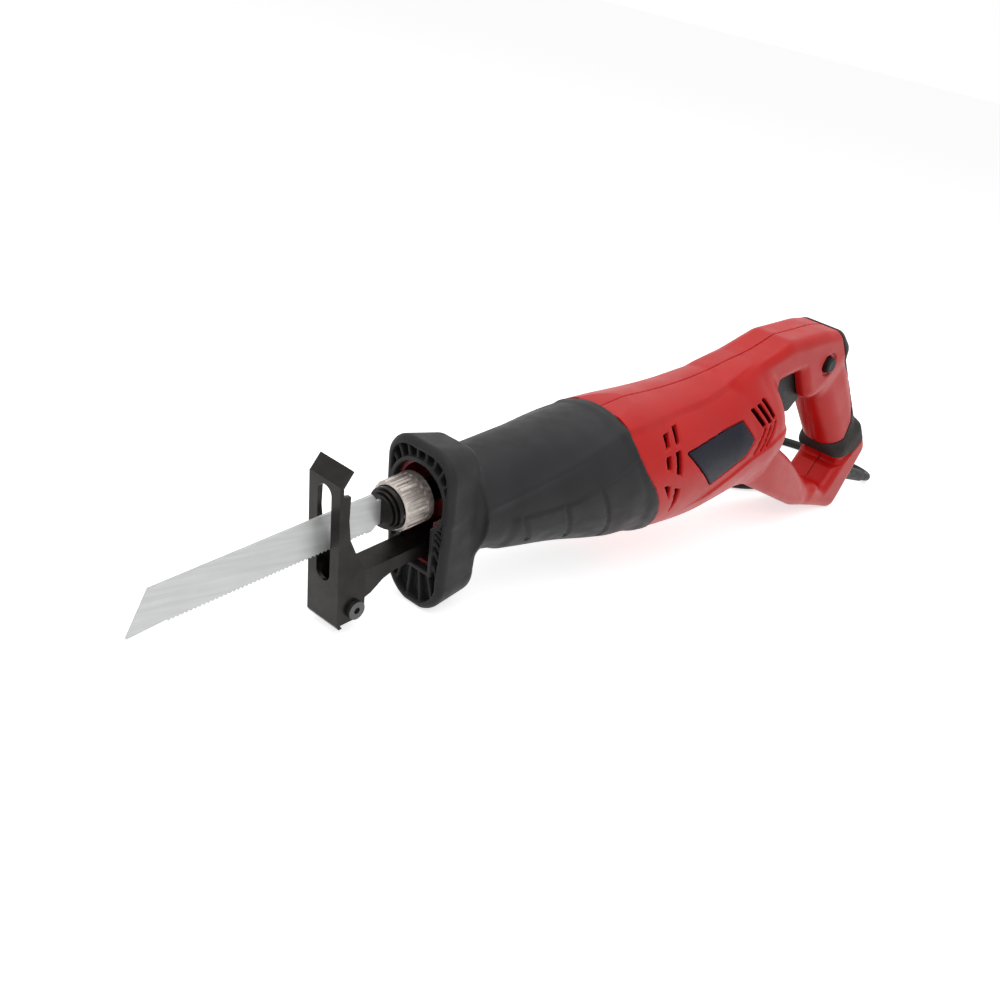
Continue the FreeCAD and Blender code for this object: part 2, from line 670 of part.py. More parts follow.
def gear_case():
    """Cast case of the gear train: a solid nose with the plunger's bore, and a hollow behind it."""
    outside = body_loft("case_outside", "boot_wall + 2 * seat_gap")
    kept = box("case_kept", ("case_nose", "bulkhead_front"), ("-60", "60"), ("-99", "60"))
    cavity = common("case_cavity", body_loft("case_inside", "boot_wall + seat_gap + case_wall"),
                    box("cavity_kept", ("cavity_front", "bulkhead_front + 1"), ("-60", "60"),
                        ("-99", "60")))
    tunnel = box("crosshead_tunnel", ("crosshead_front - 5", "bulkhead_front + 1"),
                 ("-crosshead_width / 2 - free_gap", "crosshead_width / 2 + free_gap"),
                 ("-crosshead_bottom - free_gap", "crosshead_top + free_gap"))
    bush_hole = rod("bush_hole", "x", "bush_radius + seat_gap",
                    ("case_nose - 1", "bush_front + bush_length"))
    rod_hole = rod("rod_hole", "x", "plunger_radius + case_rod_gap",
                   ("case_nose - 1", "bulkhead_front + 1"))
    bar_hole = box("bar_hole", ("case_nose - 1", "bar_end + bar_travel + 1"),
                   ("-bar_width / 2 - free_gap", "bar_width / 2 + free_gap"),
                   ("-bar_top_drop - bar_height - free_gap", "-bar_top_drop + free_gap"))
    seat = rod("case_bearing_seat", "x", "bearing_radius + seat_gap",
               ("cavity_front - bearing_width", "cavity_front + 1"), z="-wobble_axis_drop")
    lock_hole = rod("lock_hole", "z", "3 + seat_gap", ("-60", "-bar_top_drop - bar_height"),
                    x="bush_front + 3")
    return cut("case_cut", common("case_solid", outside, kept), cavity, tunnel, bush_hole, rod_hole,
               bar_hole, seat, lock_hole)


def nose_cup():
    """Coloured plastic lining of the keyhole, with a floor that closes the nose."""
    back = "case_nose - seat_gap"
    outer = keyhole("cup_outer", "seat_gap", "flange_front + 4", back)
    inner = keyhole("cup_inner", "seat_gap + nose_wall", "flange_front + 3", f"{back} - nose_floor")
    rod_hole = rod("cup_rod_hole", "x", "plunger_radius + 0.6", ("0", "60"))
    bar_hole = box("cup_bar_hole", ("0", "60"), ("-bar_width / 2 - free_gap", "bar_width / 2 + free_gap"),
                   ("-bar_top_drop - bar_height - free_gap", "-bar_top_drop + free_gap"))
    return cut("cup_cut", outer, inner, rod_hole, bar_hole)


def bulkhead():
    """The plate that closes the gear case and holds the bearings behind the gears."""
    plate = common("bulkhead_solid", body_loft("bulkhead_outside", "boot_wall + seat_gap"),
                   box("bulkhead_kept",
                       ("bulkhead_front + seat_gap", "bulkhead_front + bulkhead_thickness"), ("-60", "60"),
                       ("-99", "60")))
    shaft_seat = rod("shaft_seat", "x", "bearing_radius + seat_gap",
                     ("bulkhead_front", "bulkhead_front + bearing_width"), z="-wobble_axis_drop")
    motor_seat = rod("motor_seat", "x", "motor_bearing_radius + seat_gap",
                     ("bulkhead_front + bulkhead_thickness - motor_bearing_width",
                      "bulkhead_front + bulkhead_thickness + 1"), z="-" + MOTOR_DROP)
    motor_hole = rod("motor_hole", "x", "shaft_radius + 1.2", ("0", "200"), z="-" + MOTOR_DROP)
    return cut("bulkhead_cut", plate, shaft_seat, motor_seat, motor_hole)


GEAR_SPAN = "(gear_module * (gear_teeth + pinion_teeth) / 2)"
MOTOR_DROP = f"(wobble_axis_drop + {GEAR_SPAN})"

node("boot", boot())
node("nose_cup", nose_cup())
node("gear_case", gear_case())
node("gear_case_bulkhead", bulkhead())
node("plunger_bush", ring("plunger_bush_ring", "x", "bush_radius", "plunger_radius + run_gap",
                          ("bush_front", "bush_front + bush_length - seat_gap")))
node("shoe_lock_screw",
     rod("lock_screw_rod", "z", "3",
         ("-nose_size + nose_z + boot_wall + 6.5", "-bar_top_drop - bar_height - free_gap - seat_gap"),
                            x="bush_front + 3"))


# ---------------------------------------------------------------------------------------------
# Gear train
# ---------------------------------------------------------------------------------------------
def sphere(name, radius, x="0", y="0", z="0"):
    """A ball."""
    part = doc.addObject("Part::Sphere", name)
    part.setExpression("Radius", ex(radius))
    return place(part, x, y, z)


def toothed(name, teeth, start, width, height):
    """A straight-toothed wheel about an axis along X: one tooth, repeated round its root disc."""
    body = doc.addObject("PartDesign::Body", name)
    planes = {item.Role: item for item in body.Origin.OriginFeatures}
    pitch_radius = f"gear_module * {teeth} / 2"
    root, tip = f"{pitch_radius} - gear_module", f"{pitch_radius} + gear_module * 0.55"
    half = "(3.1416 * gear_module / 2 - gear_backlash) / 2"

    disc = body.newObject("Sketcher::SketchObject", name + "_root")
    disc.AttachmentSupport, disc.MapMode = [(planes["XY_Plane"], "")], "FlatFace"
    disc.addGeometry(Part.Circle(V(0, 0, 0), Z_AXIS, value(root)), False)
    constrain(disc, "Coincident", 0, 3, -1, 1)
    number = constrain(disc, "Radius", 0, value(root))
    disc.setExpression(f"Constraints[{number}]", ex(root + " + 0.05"))
    wheel = body.newObject("PartDesign::Pad", name + "_disc")
    wheel.Profile = disc
    wheel.setExpression("Length", ex(width))

    tooth = body.newObject("Sketcher::SketchObject", name + "_tooth")
    tooth.AttachmentSupport, tooth.MapMode = [(planes["XY_Plane"], "")], "FlatFace"
    corners = [(root, f"-({half}) - gear_module * 0.2"), (tip, f"-({half}) + gear_module * 0.2"),
               (tip, f"({half}) - gear_module * 0.2"), (root, f"({half}) + gear_module * 0.2")]
    for i in range(4):
        start_point, end_point = corners[i], corners[(i + 1) % 4]
        tooth.addGeometry(Part.LineSegment(V(value(start_point[0]), value(start_point[1]), 0),
                                           V(value(end_point[0]), value(end_point[1]), 0)), False)
    for i in range(4):
        constrain(tooth, "Coincident", i, 2, (i + 1) % 4, 1)
        bind_place(tooth, "DistanceX", i, value(corners[i][0]), corners[i][0])
        bind_place(tooth, "DistanceY", i, value(corners[i][1]), corners[i][1])
    raised = body.newObject("PartDesign::Pad", name + "_raised")
    raised.Profile = tooth
    raised.setExpression("Length", ex(width))
    doc.recompute()
    pattern = body.newObject("PartDesign::PolarPattern", name + "_round")
    pattern.Originals = [raised]
    pattern.Axis = (planes["Z_Axis"], [""])
    pattern.Angle = 360
    pattern.Occurrences = int(size(teeth))
    body.Tip = pattern
    body.Placement.Rotation = TURNS["x"]
    return place(body, x=start, z=height)


def spokes(name, count, x, width, reach, height):
    """Equal bars that stand out from an axis along X, evenly spaced round it."""
    bars = []
    for i in range(count):
        turn = 360 / count * i
        bar = doc.addObject("Part::Box", f"{name}_{i}")
        bar.Placement.Rotation = FreeCAD.Rotation(X_AXIS, turn)
        bar.setExpression("Length", ex(f"({x[1]}) - ({x[0]})"))
        bar.setExpression("Width", ex(width))
        bar.setExpression("Height", ex(f"({reach[1]}) - ({reach[0]})"))
        bars.append(place(bar, x=x[0], y=f"-({width}) / 2 * cos({turn}) - ({reach[0]}) * sin({turn})",
                          z=f"({height}) - ({width}) / 2 * sin({turn}) + ({reach[0]}) * cos({turn})"))
    return bars


WOBBLE_X = "(crosshead_front + crosshead_length / 2 + plunger_stroke / 2)"
WOBBLE_Z = "-wobble_axis_drop"
MOTOR_Z = "-" + MOTOR_DROP


def wobble_hub():
    """Ball-shaped hub on the intermediate shaft, with the tilted groove that makes the arm rock."""
    ball = sphere("hub_ball", "wobble_hub_radius", x=WOBBLE_X, z=WOBBLE_Z)
    sides = box("hub_sides", (f"{WOBBLE_X} - 7", f"{WOBBLE_X} + 7"), ("-20", "20"), ("-60", "0"))
    groove = doc.addObject("Part::Torus", "hub_groove")
    groove.setExpression("Radius1", ex("wobble_hub_radius + 0.6"))
    groove.Radius2 = 1.8
    groove.Placement.Rotation = FreeCAD.Rotation(Y_AXIS,
                                                 90
                                                 + math.degrees(math.asin(value("plunger_stroke / 2 / wobble_axis_drop"))))
    place(groove, x=WOBBLE_X, z=WOBBLE_Z)
    bore = rod("hub_bore", "x", "shaft_radius", ("0", "200"), z=WOBBLE_Z)
    return cut("hub_cut", common("hub_solid", ball, sides), groove, bore)


def wobble_arm():
    """Ring round the hub with an arm and a ball, tilted forward to the plunger's front stop."""
    ring_part = rod("arm_ring", "x", "wobble_ring_radius",
                    ("-wobble_ring_width / 2", "wobble_ring_width / 2"))
    neck = rod("arm_neck", "z", "wobble_neck_radius", ("wobble_ring_radius - 1", "wobble_axis_drop - 1"))
    foot = taper("arm_foot", "z", ("wobble_neck_radius + 2.4", "wobble_neck_radius"),
                 ("wobble_ring_radius - 1", "wobble_ring_radius + 5"))
    ball = sphere("arm_ball", "wobble_ball_radius", z="wobble_axis_drop")
    bore = rod("arm_bore", "x", "wobble_hub_radius + free_gap", ("-wobble_ring_width", "wobble_ring_width"))
    arm = cut("arm_cut", fuse("arm_solid", ring_part, neck, foot, ball), bore)
    arm.Placement.Rotation = FreeCAD.Rotation(Y_AXIS,
                                              -math.degrees(math.asin(value("plunger_stroke / 2 / wobble_axis_drop"))))
    return place(arm, x=WOBBLE_X, z=WOBBLE_Z)


def bearing(name, outer, start, width, height):
    """A shielded ball bearing, drawn as its two rings and the shield between them."""
    whole = ring(name, "x", outer, "shaft_radius + run_gap", (start, f"{start} + {width}"), z=height)
    grooves = []
    for side, (low,
               high) in enumerate(((f"{start} - 1", f"{start} + 0.4"),
                                   (f"{start} + {width} - 0.4", f"{start} + {width} + 1"))):
        grooves.append(ring(f"{name}_shield_{side}", "x", f"{outer} - 1.4", "shaft_radius + 1.4",
                            (low, high), z=height))
    return cut(name + "_cut", whole, *grooves)


node("intermediate_shaft", rod("intermediate_rod", "x", "shaft_radius",
                               ("cavity_front - bearing_width",
                                "bulkhead_front + bearing_width"), z=WOBBLE_Z))
node("wobble_hub", wobble_hub())
node("wobble_arm", wobble_arm())
node("drive_gear",
     cut("drive_gear_cut", toothed("drive_gear_body", "gear_teeth", "gear_front", "gear_width", WOBBLE_Z),
                       rod("gear_bore", "x", "shaft_radius", ("0", "200"), z=WOBBLE_Z)))
node("intermediate_bearings",
     bearing("case_bearing", "bearing_radius", "cavity_front - bearing_width", "bearing_width", WOBBLE_Z),
     bearing("bulkhead_bearing", "bearing_radius", "bulkhead_front + seat_gap",
             "(bearing_width - seat_gap)", WOBBLE_Z))
node("armature_front_bearing",
     bearing("front_bearing", "motor_bearing_radius",
             "bulkhead_front + bulkhead_thickness - motor_bearing_width",
                                       "motor_bearing_width", MOTOR_Z))
node("armature_rear_bearing",
     bearing("rear_bearing", "motor_bearing_radius", "rear_bearing_front", "motor_bearing_width", MOTOR_Z))


# ---------------------------------------------------------------------------------------------
# Motor
# ---------------------------------------------------------------------------------------------
def armature_shaft():
    """Motor shaft with the pinion cut on its front end."""
    pinion = toothed("pinion_body", "pinion_teeth", "gear_front - 0.5", "gear_width + 2.5", MOTOR_Z)
    steel = rod("motor_rod", "x", "shaft_radius",
                ("gear_front + gear_width + 1.5", "rear_bearing_front + motor_bearing_width + 1.5"),
                z=MOTOR_Z)
    return fuse("armature_shaft_solid", pinion, steel)


def armature_core():
    """Laminated core with winding slots."""
    stack = ring("core_stack", "x", "core_radius", "shaft_radius",
                 ("stator_front", "stator_front + stator_length"), z=MOTOR_Z)
    slots = spokes("core_slot", int(size("core_slots")),
                   ("stator_front - 1", "stator_front + stator_length + 1"), "3",
                   ("7.5", "core_radius - 1.4"), MOTOR_Z)
    mouths = spokes("core_mouth", int(size("core_slots")),
                    ("stator_front - 1", "stator_front + stator_length + 1"), "1.2",
                    ("core_radius - 2", "core_radius + 1"), MOTOR_Z)
    return cut("core_cut", stack, *slots, *mouths)


def armature_windings():
    """Copper wound through the slots, with a bundle at each end."""
    front = ("stator_front - coil_overhang", "stator_front - seat_gap")
    back = ("stator_front + stator_length + seat_gap", "stator_front + stator_length + coil_overhang")
    bundles = [rod("front_bundle", "x", "core_radius - 1.6", front, z=MOTOR_Z),
               rod("back_bundle", "x", "core_radius - 1.6", back, z=MOTOR_Z)]
    bars = spokes("slot_copper", int(size("core_slots")), (front[0] + " + 2", back[1] + " - 2"), "2.6",
                  ("7.7", "core_radius - 1.7"), MOTOR_Z)
    return cut("windings_cut", fuse("windings_solid", *bundles, *bars),
               rod("windings_bore", "x", "shaft_radius + seat_gap", ("100", "300"), z=MOTOR_Z))


def commutator():
    """Copper bars round the shaft, parted by narrow slots."""
    drum = ring("commutator_drum", "x", "commutator_radius", "shaft_radius",
                ("commutator_front", "commutator_front + commutator_length"), z=MOTOR_Z)
    slots = spokes("bar_slot", int(size("commutator_bars")),
                   ("commutator_front - 1", "commutator_front + commutator_length + 1"), "0.5",
                   ("commutator_radius - 1", "commutator_radius + 1"), MOTOR_Z)
    return cut("commutator_cut", drum, *slots)


def fan():
    """Cooling fan: a back plate, a hub and straight blades."""
    hub = rod("fan_hub", "x", "8", ("fan_front", "fan_front + fan_width"), z=MOTOR_Z)
    plate = rod("fan_plate", "x", "fan_radius", ("fan_front + fan_width - 2", "fan_front + fan_width"),
                z=MOTOR_Z)
    blades = spokes("fan_blade", int(size("fan_blades")), ("fan_front", "fan_front + fan_width - 1"), "1.6",
                    ("7", "fan_radius - 0.5"), MOTOR_Z)
    return cut("fan_cut", fuse("fan_solid", hub, plate, *blades),
               rod("fan_bore", "x", "shaft_radius", ("100", "300"), z=MOTOR_Z))


COIL_SIDES = (("left", -1), ("right", 1))


def stator_core():
    """Laminated ring of the field, with a pocket on each side for its coils."""
    stack = ring("stator_stack", "x", "stator_radius", "stator_bore",
                 ("stator_front", "stator_front + stator_length"), z=MOTOR_Z)
    pockets = []
    for name, side in COIL_SIDES:
        pockets.append(box("coil_pocket_" + name, ("stator_front - 1", "stator_front + stator_length + 1"),
                           (f"{side} * stator_bore * 1.17 - 3.2",
                            f"{side} * stator_bore * 1.17 + 3.2"), (f"{MOTOR_Z} - 9", f"{MOTOR_Z} + 9")))
    return cut("stator_cut", stack, *pockets)


def field_coils():
    """The two field coils, which stand out of the stator at both ends."""
    coils = []
    for name, side in COIL_SIDES:
        middle = f"{side} * stator_bore * 1.17"
        coils.append(box("coil_" + name,
                         ("stator_front - coil_overhang", "stator_front + stator_length + coil_overhang"),
                         (f"{middle} - 3", f"{middle} + 3"), (f"{MOTOR_Z} - 8.8", f"{MOTOR_Z} + 8.8")))
    return coils


BRUSH_X = "(commutator_front + commutator_length / 2)"


def brush_parts():
    """Carbon brushes, their springs and their holders, one of each on both sides."""
    brushes, springs, holders = [], [], []
    for name, side in COIL_SIDES:
        near, far = "commutator_radius + run_gap", "commutator_radius + brush_length"
        end = f"{far} + 7"
        ordered = (lambda a, b: (a, b)) if side > 0 else (lambda a, b: (f"-({b})", f"-({a})"))
        half_x, half_z = "brush_width / 2", "brush_depth / 2"
        brushes.append(box("brush_" + name, (f"{BRUSH_X} - {half_x}", f"{BRUSH_X} + {half_x}"),
                           ordered(near, far),
                           (f"{MOTOR_Z} - {half_z}", f"{MOTOR_Z} + {half_z}")))
        coil = Part.makeHelix(2.0, value(end) - value(far) - 1.2, 2.2)
        wire = Part.Wire([Part.Circle(V(2.2, 0, 0), Y_AXIS, 0.35).toShape()])
        spring = doc.addObject("Part::Feature", "brush_spring_" + name)
        spring.Shape = Part.Wire(coil).makePipeShell([wire], True, True)
        turn = FreeCAD.Rotation(X_AXIS, -90 * side)
        spring.Placement = FreeCAD.Placement(V(value(BRUSH_X), side * (value(far) + 0.5), value(MOTOR_Z)),
                                             turn)
        springs.append(spring)
        shell = box("holder_block_" + name, (f"{BRUSH_X} - {half_x} - 1.6", "rear_bearing_front - 5"),
                    ordered("commutator_radius + 2", f"{end} + 1.6"),
                    (f"{MOTOR_Z} - {half_z} - 1.6", f"{MOTOR_Z} + {half_z} + 1.6"))
        room = box("holder_room_" + name, (f"{BRUSH_X} - {half_x} - 0.1", f"{BRUSH_X} + {half_x} + 0.1"),
                   ordered("commutator_radius", end),
                   (f"{MOTOR_Z} - {half_z} - 0.1", f"{MOTOR_Z} + {half_z} + 0.1"))
        holders.append(cut("holder_" + name, shell, room))
    return brushes, springs, holders


node("armature_shaft", armature_shaft())
node("armature_core", armature_core())
node("armature_windings", armature_windings())
node("commutator", commutator())
node("cooling_fan", fan())
node("stator_core", stator_core())
node("field_coils", *field_coils())
BRUSHES, BRUSH_SPRINGS, BRUSH_HOLDERS = brush_parts()
node("carbon_brushes", *BRUSHES)
node("brush_springs", *BRUSH_SPRINGS)
node("brush_holders", *BRUSH_HOLDERS)




# ---------------------------------------------------------------------------------------------
# Handle and housing halves
# ---------------------------------------------------------------------------------------------
HANDLE_EDGE = [("tail_x", "handle_top"), ("handle_top_back", "handle_top"), ("grip_back_x", "grip_back_z"),
               ("corner_back_x", "corner_back_z"), ("corner_low_x", "corner_low_z"), ("branch_low_x",
                                                                                      "branch_low_z"),
               ("branch_root_x", "branch_root_z"), ("tail_x", "branch_root_z + 8")]
LOOP_EDGE = [("loop_front_x", "loop_top"), ("loop_low_x", "loop_low_z"), ("loop_corner_x", "loop_corner_z"),
             ("grip_low_x", "grip_low_z"), ("grip_front_x", "grip_front_z"), ("grip_front_x - 14",
                                                                              "loop_top")]


def moved_edge(name, points, shift):
    """A closed outline whose every side is moved outwards by a distance, or inwards if it is negative."""
    sketch = outline(name + "_edge", points)
    if value(shift) == 0:
        return sketch
    moved = doc.addObject("Part::Offset2D", name + "_moved")
    moved.Source = sketch
    moved.setExpression("Value", ex(shift))
    moved.Join = 2
    return moved


def handle_solid(name, inset):
    """The D handle with all its edges rounded, its skin moved in by an inset."""
    half = f"handle_width / 2 - ({inset})"
    inward = value(inset)
    rim = slab(name + "_rim", moved_edge(name + "_rim", HANDLE_EDGE, f"-({inset})"), half)
    opening = slab(name + "_opening", moved_edge(name + "_opening", LOOP_EDGE, inset), half + " + 1")
    rim = rounded(name + "_rim_corners", rim, size("corner_round") - inward,
                  lambda edge: along(Y_AXIS)(edge) and edge.CenterOfMass.x > size("tail_x") + 6)
    opening = rounded(name + "_opening_corners", opening, size("corner_round") + inward, along(Y_AXIS))
    side = value(half)
    return rounded(name, cut(name + "_block", rim, opening), size("handle_round") - inward,
                   lambda edge: abs(abs(edge.CenterOfMass.y) - side) < 1e-6 and edge.BoundBox.YLength < 1e-6)


def grip_overmould():
    """Soft skin round the back of the grip, with a band round its foot."""
    strip = [("grip_back_x - 14", "grip_back_z + 6"), ("corner_back_x + 20", "grip_back_z + 6"),
             ("corner_back_x + 20", "band_bottom_z - 8"),
             ("grip_low_x + 26", "band_bottom_z - 6"), ("grip_low_x - 8",
                                                        "band_bottom_z + 6"), ("grip_low_x - 18",
                                                        "band_top_z + 1"),
             ("grip_low_x + 6", "band_top_z - 6"), ("corner_back_x - overmould_strip * 2.4",
                                                    "band_top_z + 4"),
             ("corner_back_x - overmould_strip * 3.6", "-52"), ("grip_back_x", "-38")]
    region = slab("overmould_region", outline("overmould_edge", strip), "60")
    skin = common("overmould_skin", HANDLE_OUTSIDE, region)
    return cut("overmould_cut", skin, HANDLE_CORE)


VENTS = {
    "front_top": [("shoulder_x + 10", "-7"), ("shoulder_x + 15", "-7"), ("shoulder_x + 12", "-13.5"),
                  ("shoulder_x + 8", "-13.5")],
    "front_low": [("shoulder_x + 7", "-16"), ("shoulder_x + 11", "-16"), ("shoulder_x + 10", "-23"),
                  ("shoulder_x + 6", "-22")],
    "back_top": [("shoulder_x + 21", "-6.5"), ("shoulder_x + 25.5", "-6.5"), ("shoulder_x + 22", "-13.5"),
                 ("shoulder_x + 18", "-13.5")],
    "back_low": [("shoulder_x + 16.5", "-16"), ("shoulder_x + 20.5", "-16"), ("shoulder_x + 18", "-28"),
                 ("shoulder_x + 14", "-26")],
    "corner": [("shoulder_x + 4", "-30"), ("shoulder_x + 9", "-31.5"), ("shoulder_x + 9", "-38.5")],
    "long": [("shoulder_x + 13", "-34"), ("shoulder_x + 18", "-35.5"), ("shoulder_x + 17", "-43"),
             ("shoulder_x + 15", "-50")],
    "tail_front": [("tail_x + 3.5", "-16"), ("tail_x + 6.8", "-16"), ("tail_x + 13", "-27"),
                   ("tail_x + 10.5", "-28")],
    "tail_middle": [("tail_x + 10", "-15"), ("tail_x + 13.5", "-15"), ("tail_x + 20", "-26"),
                    ("tail_x + 17.5", "-27")],
    "tail_back": [("tail_x + 16", "-14.5"), ("tail_x + 19", "-14.5"), ("tail_x + 24.5", "-25"),
                  ("tail_x + 22", "-26")],
}
BADGE_EDGE = [("middle_x - 34", "-19.3"), ("tail_x - 9", "-18.5"), ("tail_x", "-31.3"),
              ("tail_x - 9.5", "-38"), ("middle_x - 12", "-44.3")]
SCREW_SPOTS = (("shoulder_x + 18", "-9", "17"), ("tail_x - 6", "-9.5", "17"), ("rump_x + 8", "-62", "12"),
               ("handle_top_back - 51", "handle_top - 7.8", "9"), ("grip_back_x - 8", "grip_back_z - 8",
                                                                   "9"),
               ("grip_low_x + 30", "grip_low_z - 11", "9"), ("corner_low_x - 6", "corner_low_z + 14", "9"),
               ("loop_corner_x - 26", "loop_corner_z + 3", "9"))


def side_boxes(name, inner):
    """Two blocks, left and right, from a distance off the parting plane outwards."""
    return [box(name + "_left", ("0", "520"), ("-90", f"-({inner})"), ("-190", "60")),
            box(name + "_right", ("0", "520"), (inner, "90"), ("-190", "60"))]


def badge_plates():
    """Bare five-sided plates let into the sides of the motor housing."""
    region = slab("badge_region", outline("badge_edge", BADGE_EDGE), "80")
    rings = cut("badge_skin", common("badge_outside", body_loft("badge_outer", "-0.3"), region),
                body_loft("badge_inner", "1"))
    return [common("badge_" + side.Name.split("_")[-1], rings, side) for side in side_boxes("badge_side",
                                                                                            "5")]


def screw_parts():
    """The housing screws, the posts they go through and the holes that take their heads."""
    screws, posts, holes = [], [], []
    for i, (x, z, head) in enumerate(SCREW_SPOTS):
        shank = rod(f"screw_shank_{i}", "y", "1.6", ("-9", head), x=x, z=z)
        cap = rod(f"screw_cap_{i}", "y", "3", (head, f"{head} + 2.6"), x=x, z=z)
        slot_a = box(f"screw_slot_{i}", (f"{x} - 2", f"{x} + 2"), (f"{head} + 1.4", f"{head} + 3"),
                     (f"{z} - 0.4", f"{z} + 0.4"))
        slot_b = box(f"screw_cross_{i}", (f"{x} - 0.4", f"{x} + 0.4"), (f"{head} + 1.4", f"{head} + 3"),
                     (f"{z} - 2", f"{z} + 2"))
        screws.append(cut(f"screw_{i}", fuse(f"screw_solid_{i}", shank, cap), slot_a, slot_b))
        posts.append(rod(f"post_{i}", "y", "4.4", ("-60", "60"), x=x, z=z))
        holes.append(rod(f"shank_hole_{i}", "y", "1.6", ("-9", head), x=x, z=z))
        holes.append(rod(f"cap_hole_{i}", "y", "3.2", (head, "60"), x=x, z=z))
    return screws, posts, holes


def turned(part, angle, x, z):
    """Turn a finished piece about Y and stand its own origin at a point of the X-Z plane."""
    whole = doc.addObject("Part::Compound", part.Name + "_turned")
    whole.Links = [part]
    whole.Placement.Rotation = FreeCAD.Rotation(Y_AXIS, angle)
    return place(whole, x=x, z=z)


def grip_frame(part):
    """Stand a piece that is drawn square in the frame of the grip: X into the grip, Z up along it."""
    angle = value("atan((grip_low_x - grip_front_x) / (grip_front_z - grip_low_z)) / 1 deg")
    return turned(part, -angle, "grip_front_x", "grip_front_z")


TRIGGER_LOW, TRIGGER_HIGH = "-6", "(trigger_length - 6)"
SWITCH_X = "16"


def trigger():
    """Finger trigger with a hollowed front and a round pocket for the speed dial."""
    side = [("-trigger_reach", TRIGGER_HIGH), ("-trigger_reach", f"{TRIGGER_HIGH} - 14"),
            ("-trigger_reach + 2.5", "4"),
            ("-trigger_reach + 2", "-2"), ("-trigger_reach + 5", TRIGGER_LOW), ("8", TRIGGER_LOW), ("8",
                                                                                                    TRIGGER_HIGH)]
    paddle = slab("trigger_paddle", outline("trigger_edge", side), "trigger_width / 2")
    soft = rounded("trigger_soft", paddle, 2.0,
                   lambda edge: edge.BoundBox.YLength < 1e-6 and edge.CenterOfMass.x < 2
                   and not along(X_AXIS)(edge))
    stem = box("trigger_stem", ("7", f"{SWITCH_X} - trigger_travel - seat_gap"), ("-4", "4"), ("2", "12"))
    pocket = rod("dial_pocket", "x", "dial_radius + free_gap",
                 ("-trigger_reach - 1", "-trigger_reach + dial_thickness - 0.8"), z=f"{TRIGGER_HIGH} - 8")
    return grip_frame(cut("trigger_cut", fuse("trigger_solid", soft, stem), pocket))


def speed_dial():
    """Small knurled dial set in the front of the trigger."""
    disc = rod("dial_disc", "x", "dial_radius",
               ("-trigger_reach - 1.1", "-trigger_reach + dial_thickness - 1.1"), z=f"{TRIGGER_HIGH} - 8")
    notches = []
    for i in range(16):
        turn = 360 / 16 * i
        notches.append(rod(f"dial_notch_{i}", "x", "0.5",
                           ("-trigger_reach - 2", "-trigger_reach + dial_thickness"),
                           y=f"(dial_radius + 0.15) * cos({turn})", z=f"{TRIGGER_HIGH} - 8 + (dial_radius + 0.15) * sin({turn})"))
    return grip_frame(cut("dial_cut", disc, *notches))


def switch_body():
    """Sealed switch block inside the grip."""
    block = box("switch_block", (SWITCH_X, f"{SWITCH_X} + switch_depth"),
                ("-switch_width / 2", "switch_width / 2"), ("-switch_length + 14", "14"))
    return grip_frame(block)


def lock_button():
    """Round lock-on button in the left side of the grip: a domed head, a collar and a stem."""
    face = "-handle_width / 2 - button_rise"
    head = rod("button_head", "y", "button_radius", (face, f"{face} + button_length"), x="button_x",
               z="button_z")
    soft = rounded("button_soft", head, 1.4, lambda edge: abs(edge.CenterOfMass.y - value(face)) < 1e-6)
    return soft


def trigger_room():
    """The slot in the housing that the trigger moves in."""
    return grip_frame(box("trigger_slot", ("-4", "15.4"),
                          ("-trigger_width / 2 - 0.4", "trigger_width / 2 + 0.4"),
                          (f"{TRIGGER_LOW} - 0.4", f"{TRIGGER_HIGH} + 0.4")))


HANDLE_OUTSIDE = handle_solid("handle_outside", "0")
HANDLE_CORE = handle_solid("handle_core", "overmould_thickness")
OVERMOULD = grip_overmould()
BADGES = badge_plates()
SCREWS, POSTS, SCREW_HOLES = screw_parts()


def relief_frame(part):
    """Stand a piece drawn along X at the cord's exit, pointing out and down."""
    return turned(part, size("relief_fall"), "(corner_back_x + corner_low_x) / 2",
                  "(corner_back_z + corner_low_z) / 2")


